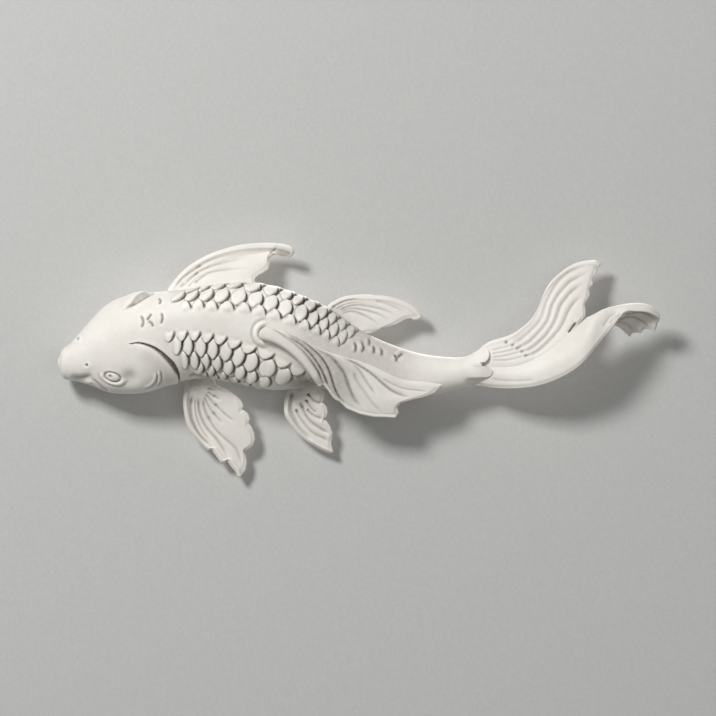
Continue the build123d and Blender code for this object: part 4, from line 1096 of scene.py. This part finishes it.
def make_dorsal():
    """The fin that lies along the back, with its thick spine."""
    sheet = fin_sheet(DORSAL, 240, 140)
    out = np.linspace(0.0, 1.0, len(sheet))[:, None]
    over = np.linspace(0.0, 1.0, sheet.shape[1])
    # The lower edge flares a little towards the room and ends in a lip.
    sheet[..., 1] -= DORSAL_FLARE * smooth(0.45, 0.75, out) * smooth(0.9, 0.1, over)
    sheet[..., 1] -= DORSAL_LIP * smooth(4.0, 0.0, across_run(sheet)) * smooth(0.46, 0.54, out)
    # A round spine runs along the leading edge, and the web beside it is painted darker: painted shade.
    away, passed = from_line(sheet[..., 0], sheet[..., 2], [edge[:2] for edge in DORSAL["lead"]])
    half = np.interp(passed, *np.transpose(DORSAL_SPINE_HALF))
    off = (away - half) / half
    spine = DORSAL_SPINE_RISE * smooth(1.1, 0.85, passed) * np.sqrt(np.clip(1.0 - off ** 4, 0.0, 1.0))
    beside = smooth(2.0 * half, 2.5 * half, away) * smooth(55.0, 16.0, away)
    shade = DORSAL_SHADE * beside * smooth(0.1, 0.4, passed)
    parts = fin_parts(sheet, DORSAL_HALF, 0.0, DORSAL_CUTS, (), shade=shade, spine=spine)
    return casting_piece("dorsal_casting", "dorsal_fin", *parts)


def lower_lobe_sheet(along, across):
    """Middle sheet of the tail's lower lobe: an arch from its front lip over the top to its ragged back
    edge."""
    lip, arch, back = (np.array(edge, float) for edge in (TAIL_LIP, TAIL_ARCH, TAIL_BACK))
    x = np.linspace(lip[0, 0], lip[-1, 0], along)
    front = spline(lip[:, 0], lip[:, 1:], x)
    top = spline(arch[:, 0], arch[:, 1:], x)
    rear = np.stack([np.interp(x, back[:, 0], back[:, k]) for k in (1, 2)], axis=1)
    sheet = np.zeros((along, across, 3))
    for k in range(along):
        section = flowing((front[k], top[k], rear[k]), across)
        sheet[k, :, 0] = x[k]
        sheet[k, :, 1] = -section[:, 1]
        sheet[k, :, 2] = section[:, 0]
    return sheet


def make_tail():
    """The tail: an upper lobe and a curled lower lobe, cast as one."""
    upper = fin_parts(fin_sheet(TAIL_UPPER, 200, 130), TAIL_UPPER_HALF, TAIL_UPPER_ROLL, TAIL_UPPER_CUTS,
                      TAIL_UPPER_PITS, swell=DOWEL_SWELL)
    sheet = lower_lobe_sheet(240, 84)
    x = sheet[..., 0]
    depth, wash = carve(sheet, TAIL_LOWER_CUTS)
    # Past the top of its arch the lobe is seen from underneath.
    past_arch = smooth(0.45, 0.6, np.linspace(0.0, 1.0, sheet.shape[1]))[None, :]
    curled = past_arch * smooth(366.0, 376.0, x)
    under, under_wash = carve(sheet, TAIL_UNDERSIDE_CUTS)
    rear = TAIL_LOWER_SWELL * smooth(290.0, 268.0, x) - under * curled
    # Where the curl shows its underside, its rear is painted darker: partly wash, partly painted shade.
    rear_stain_and_shade = np.maximum(REAR_WASH, (0.3 + under_wash) * curled)
    half = half_thickness(sheet, *TAIL_LOWER_HALF)
    lower = fin_shell(sheet, half, -depth, stain_of(-depth, wash), rear, rear_stain_and_shade)
    lower = (lower[0], lower[1] + len(upper[0]), lower[2])
    points, faces, stain_and_shade = (np.concatenate(pair) for pair in zip(upper, lower))
    return casting_piece("tail_casting", "tail_fin", points, faces, stain_and_shade)


def linear(code):
    """Linear colour of an sRGB hex code."""
    parts = [int(code[k:k + 2], 16) / 255.0 for k in (1, 3, 5)]
    return [p / 12.92 if p <= 0.04045 else ((p + 0.055) / 1.055) ** 2.4 for p in parts] + [1.0]


def add(tree, kind, settings=(), links=()):
    """Adds a node, sets its inputs and properties by name or number, and links its inputs."""
    made = tree.nodes.new(kind)
    for key, value in dict(settings).items():
        if isinstance(key, int) or key in made.inputs:
            made.inputs[key].default_value = value
        else:
            setattr(made, key, value)
    for key, socket in dict(links).items():
        tree.links.new(socket, made.inputs[key])
    return made


def new_finish(name):
    """An empty material, its nodes, and the object's own coordinates in metres."""
    material = bpy.data.materials.new(name)
    material.use_nodes = True
    tree = material.node_tree
    tree.nodes.clear()
    return material, tree, add(tree, "ShaderNodeTexCoord").outputs["Object"]


def ramp(tree, socket, *stops):
    """A colour ramp over a value, with stops of place and sRGB code."""
    made = add(tree, "ShaderNodeValToRGB", links={"Fac": socket})
    while len(made.color_ramp.elements) < len(stops):
        made.color_ramp.elements.new(1.0)
    for element, (place, code) in zip(made.color_ramp.elements, stops):
        element.position = place
        element.color = linear(code)
    return made.outputs["Color"]


def noise(tree, place, size, detail, roughness=0.5):
    """Noise with marks of about this size in metres."""
    settings = {"Scale": 1.0 / size, "Detail": detail, "Roughness": roughness}
    return add(tree, "ShaderNodeTexNoise", settings, {"Vector": place}).outputs["Fac"]


def spread(tree, value, low, high, start=0.0, end=1.0):
    """Runs from low to high as a value runs from start to end."""
    settings = {"From Min": start, "From Max": end, "To Min": low, "To Max": high}
    return add(tree, "ShaderNodeMapRange", settings, {"Value": value}).outputs["Result"]


def bumped(tree, height, strength, depth, under=None):
    """Fine relief of this depth in metres, laid over another relief if there is one."""
    links = {"Height": height}
    if under is not None:
        links["Normal"] = under
    return add(tree, "ShaderNodeBump", {"Strength": strength, "Distance": depth}, links).outputs["Normal"]


def surface(tree, colour, dull, bumps, settings=()):
    """Ends a material in a surface with this colour, dullness and relief."""
    shader = add(tree, "ShaderNodeBsdfPrincipled", settings,
                 {"Base Color": colour, "Roughness": dull, "Normal": bumps})
    add(tree, "ShaderNodeOutputMaterial", links={"Surface": shader.outputs["BSDF"]})


def washed_plaster():
    """Casting plaster, poured in a rubber mould, sealed matt, brushed with thin umber and rubbed back: the
    wash stays in the cuts and the high spots are chalk white."""
    material, tree, place = new_finish("washed_casting_plaster")
    cloud = noise(tree, place, 45.0 * MM, 4.0, 0.6)
    brush = noise(tree, place, 4.0 * MM, 3.0, 0.6)
    grain = noise(tree, place, 0.9 * MM, 2.0)
    # The wash attribute carries the umber and, in places, painted shade.
    kept = add(tree, "ShaderNodeAttribute", {"attribute_name": "wash"}).outputs["Fac"]
    patchy = spread(tree, brush, 0.75, 1.1, start=0.3, end=0.7)
    stained = add(tree, "ShaderNodeMath", {"operation": "MULTIPLY", "use_clamp": True}, {0: kept, 1: patchy})
    covered = spread(tree, stained.outputs[0], 0.0, 0.95, start=0.06, end=0.9)
    chalk = ramp(tree, cloud, (0.3, "#E8E3DB"), (0.5, "#EDE9E2"), (0.7, "#F1EEE8"))
    umber = ramp(tree, brush, (0.3, "#463A2F"), (0.7, "#5F5245"))
    colour = add(tree, "ShaderNodeMix", {"data_type": "RGBA"}, {0: covered, 6: chalk, 7: umber})
    dull = spread(tree, covered, 0.56, 0.8)
    bumps = bumped(tree, grain, 0.12, 0.3 * MM)
    bumps = bumped(tree, brush, 0.18, 0.6 * MM, under=bumps)
    surface(tree, colour.outputs[2], dull, bumps, {"Specular IOR Level": 0.35})
    return material


def tempered_hardboard():
    """Tempered hardboard, pressed smooth on the outer face: dark brown fibres with paler flecks and a dull
    sheen."""
    material, tree, place = new_finish("tempered_hardboard")
    fibre = add(tree, "ShaderNodeMapping", {"Scale": (1.0, 1.0, 3.0)}, {"Vector": place})
    fleck = noise(tree, fibre.outputs["Vector"], 4.0 * MM, 5.0, 0.7)
    colour = ramp(tree, fleck, (0.3, "#5B4330"), (0.55, "#6E543D"), (0.75, "#856A4F"))
    surface(tree, colour, spread(tree, fleck, 0.5, 0.72), bumped(tree, fleck, 0.2, 0.2 * MM))
    return material


def zinc_plated_steel():
    """Sheet and wire steel with a clear zinc plate: pale grey metal with a faint cloudy spangle and a soft
    haze."""
    material, tree, place = new_finish("zinc_plated_steel")
    spangle_size = 4.0 * MM
    spangle = add(tree, "ShaderNodeTexVoronoi", {"Scale": 1.0 / spangle_size}, {"Vector": place})
    haze = noise(tree, place, 1.5 * MM, 3.0)
    colour = ramp(tree, spangle.outputs["Distance"], (0.0, "#B4B7BA"), (0.6, "#C6C8CA"))
    bumps = bumped(tree, haze, 0.08, 0.1 * MM)
    surface(tree, colour, spread(tree, haze, 0.28, 0.5), bumps, {"Metallic": 1.0})
    return material


def moulded_rubber():
    """Moulded black rubber: dark grey and dull, with a fine bloom on the surface."""
    material, tree, place = new_finish("moulded_rubber")
    bloom = noise(tree, place, 2.5 * MM, 4.0)
    colour = ramp(tree, bloom, (0.3, "#232323"), (0.7, "#343434"))
    surface(tree, colour, spread(tree, bloom, 0.65, 0.85), bumped(tree, bloom, 0.15, 0.2 * MM))
    return material


def painted_wall():
    """Pale grey emulsion rolled on a wall, with the roller's fine stipple. It shows from the room side only,
    so that the back of the fish can be seen."""
    material, tree, place = new_finish("painted_wall")
    stipple = noise(tree, place, 3.0 * MM, 3.0)
    colour = ramp(tree, stipple, (0.3, "#BDBDBB"), (0.7, "#C3C3C1"))
    bumps = bumped(tree, stipple, 0.1, 0.3 * MM)
    paint = add(tree, "ShaderNodeBsdfPrincipled", {"Roughness": 0.8}, {"Base Color": colour, "Normal": bumps})
    clear = add(tree, "ShaderNodeBsdfTransparent")
    behind = add(tree, "ShaderNodeNewGeometry").outputs["Backfacing"]
    shader = add(tree, "ShaderNodeMixShader", {},
                 {0: behind, 1: paint.outputs["BSDF"], 2: clear.outputs["BSDF"]})
    add(tree, "ShaderNodeOutputMaterial", links={"Surface": shader.outputs["Shader"]})
    return material


def wear(obj, material):
    """Gives an object this material and no other."""
    obj.data.materials.clear()
    obj.data.materials.append(material)


def soft_box(name, place, aim, size, watts):
    """A square studio lamp at place, turned to aim."""
    lamp = bpy.data.lights.new(name, "AREA")
    lamp.shape = "SQUARE"
    lamp.size = size
    lamp.energy = watts
    box = bpy.data.objects.new(name, lamp)
    box.location = place
    box.rotation_mode = "QUATERNION"
    box.rotation_quaternion = (Vector(aim) - Vector(place)).to_track_quat("-Z", "Y")
    bpy.context.scene.collection.objects.link(box)


def dress():
    """Makes the cast pieces and gives every piece its finish."""
    plaster = washed_plaster()
    castings = (make_body, make_left_pectoral, make_left_pelvic, make_right_pectoral, make_right_pelvic,
                make_dorsal, make_tail)
    for make in castings:
        wear(make(), plaster)
    steel, board, rubber = zinc_plated_steel(), tempered_hardboard(), moulded_rubber()
    hardware = ("fin_dowels", "keyhole_hanger_left", "keyhole_hanger_right", "hanger_screws",
                "back_plate_screws")
    for name in hardware:
        wear(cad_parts[name], steel)
    wear(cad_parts["back_plate"], board)
    wear(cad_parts["wall_bumpers"], rubber)


def set_wall():
    """A pale wall that the pads touch."""
    half = 2.0
    y = 2.2 * MM
    mesh = bpy.data.meshes.new("wall")
    corners = [(-half, y, -half), (half, y, -half), (half, y, half), (-half, y, half)]
    mesh.from_pydata(corners, [], [(0, 1, 2, 3)])
    wall = bpy.data.objects.new("wall", mesh)
    bpy.context.scene.collection.objects.link(wall)
    wear(wall, painted_wall())
    # The lamp behind the wall lights the back of the fish.
    wall.visible_shadow = False


def set_room():
    """Weak light from all round, and a pale room where the camera, metal and clear things look into it."""
    world = bpy.data.worlds.new("studio")
    world.use_nodes = True
    tree = world.node_tree
    tree.nodes.clear()
    path = add(tree, "ShaderNodeLightPath")
    seen = add(tree, "ShaderNodeMath", {"operation": "MAXIMUM"},
               {0: path.outputs["Is Camera Ray"], 1: path.outputs["Is Glossy Ray"]})
    seen = add(tree, "ShaderNodeMath", {"operation": "MAXIMUM"},
               {0: seen.outputs[0], 1: path.outputs["Is Transmission Ray"]})
    room = add(tree, "ShaderNodeBackground", {"Color": linear("#F2F2F0"), "Strength": 0.22})
    pale = add(tree, "ShaderNodeBackground", {"Color": linear("#E4E4E2"), "Strength": 1.0})
    both = add(tree, "ShaderNodeMixShader", {},
               {0: seen.outputs[0], 1: room.outputs["Background"], 2: pale.outputs["Background"]})
    add(tree, "ShaderNodeOutputWorld", links={"Surface": both.outputs["Shader"]})
    bpy.context.scene.world = world


def set_camera():
    """A camera square to the wall and far off, true to size at the middle of the fish's depth."""
    scene = bpy.context.scene
    eye = bpy.data.cameras.new("camera")
    eye.sensor_width = 36.0
    eye.lens = eye.sensor_width * (CAMERA_DISTANCE - TRUE_DEPTH) / FRAME_WIDTH
    eye.clip_end = 50.0
    camera = bpy.data.objects.new("camera", eye)
    camera.location = (FRAME_MIDDLE[0], -CAMERA_DISTANCE, FRAME_MIDDLE[1])
    camera.rotation_euler = (math.radians(90.0), 0.0, 0.0)
    scene.collection.objects.link(camera)
    scene.camera = camera
    scene.view_settings.view_transform = "Standard"


def set_stage():
    """The wall, a lamp high on the left, weak fill, a lamp for the back, the room and the camera."""
    set_wall()
    aim = (FRAME_MIDDLE[0], LAMP_AIM_Y, FRAME_MIDDLE[1])
    soft_box("key_lamp", (-1.4, -2.4, 1.65), aim, 0.7, 86.0)
    soft_box("fill_lamp", (1.0, -2.8, -0.3), aim, 1.6, 11.0)
    soft_box("back_lamp", (0.6, 2.6, 1.4), aim, 1.2, 50.0)
    set_room()
    set_camera()


dress()
set_stage()
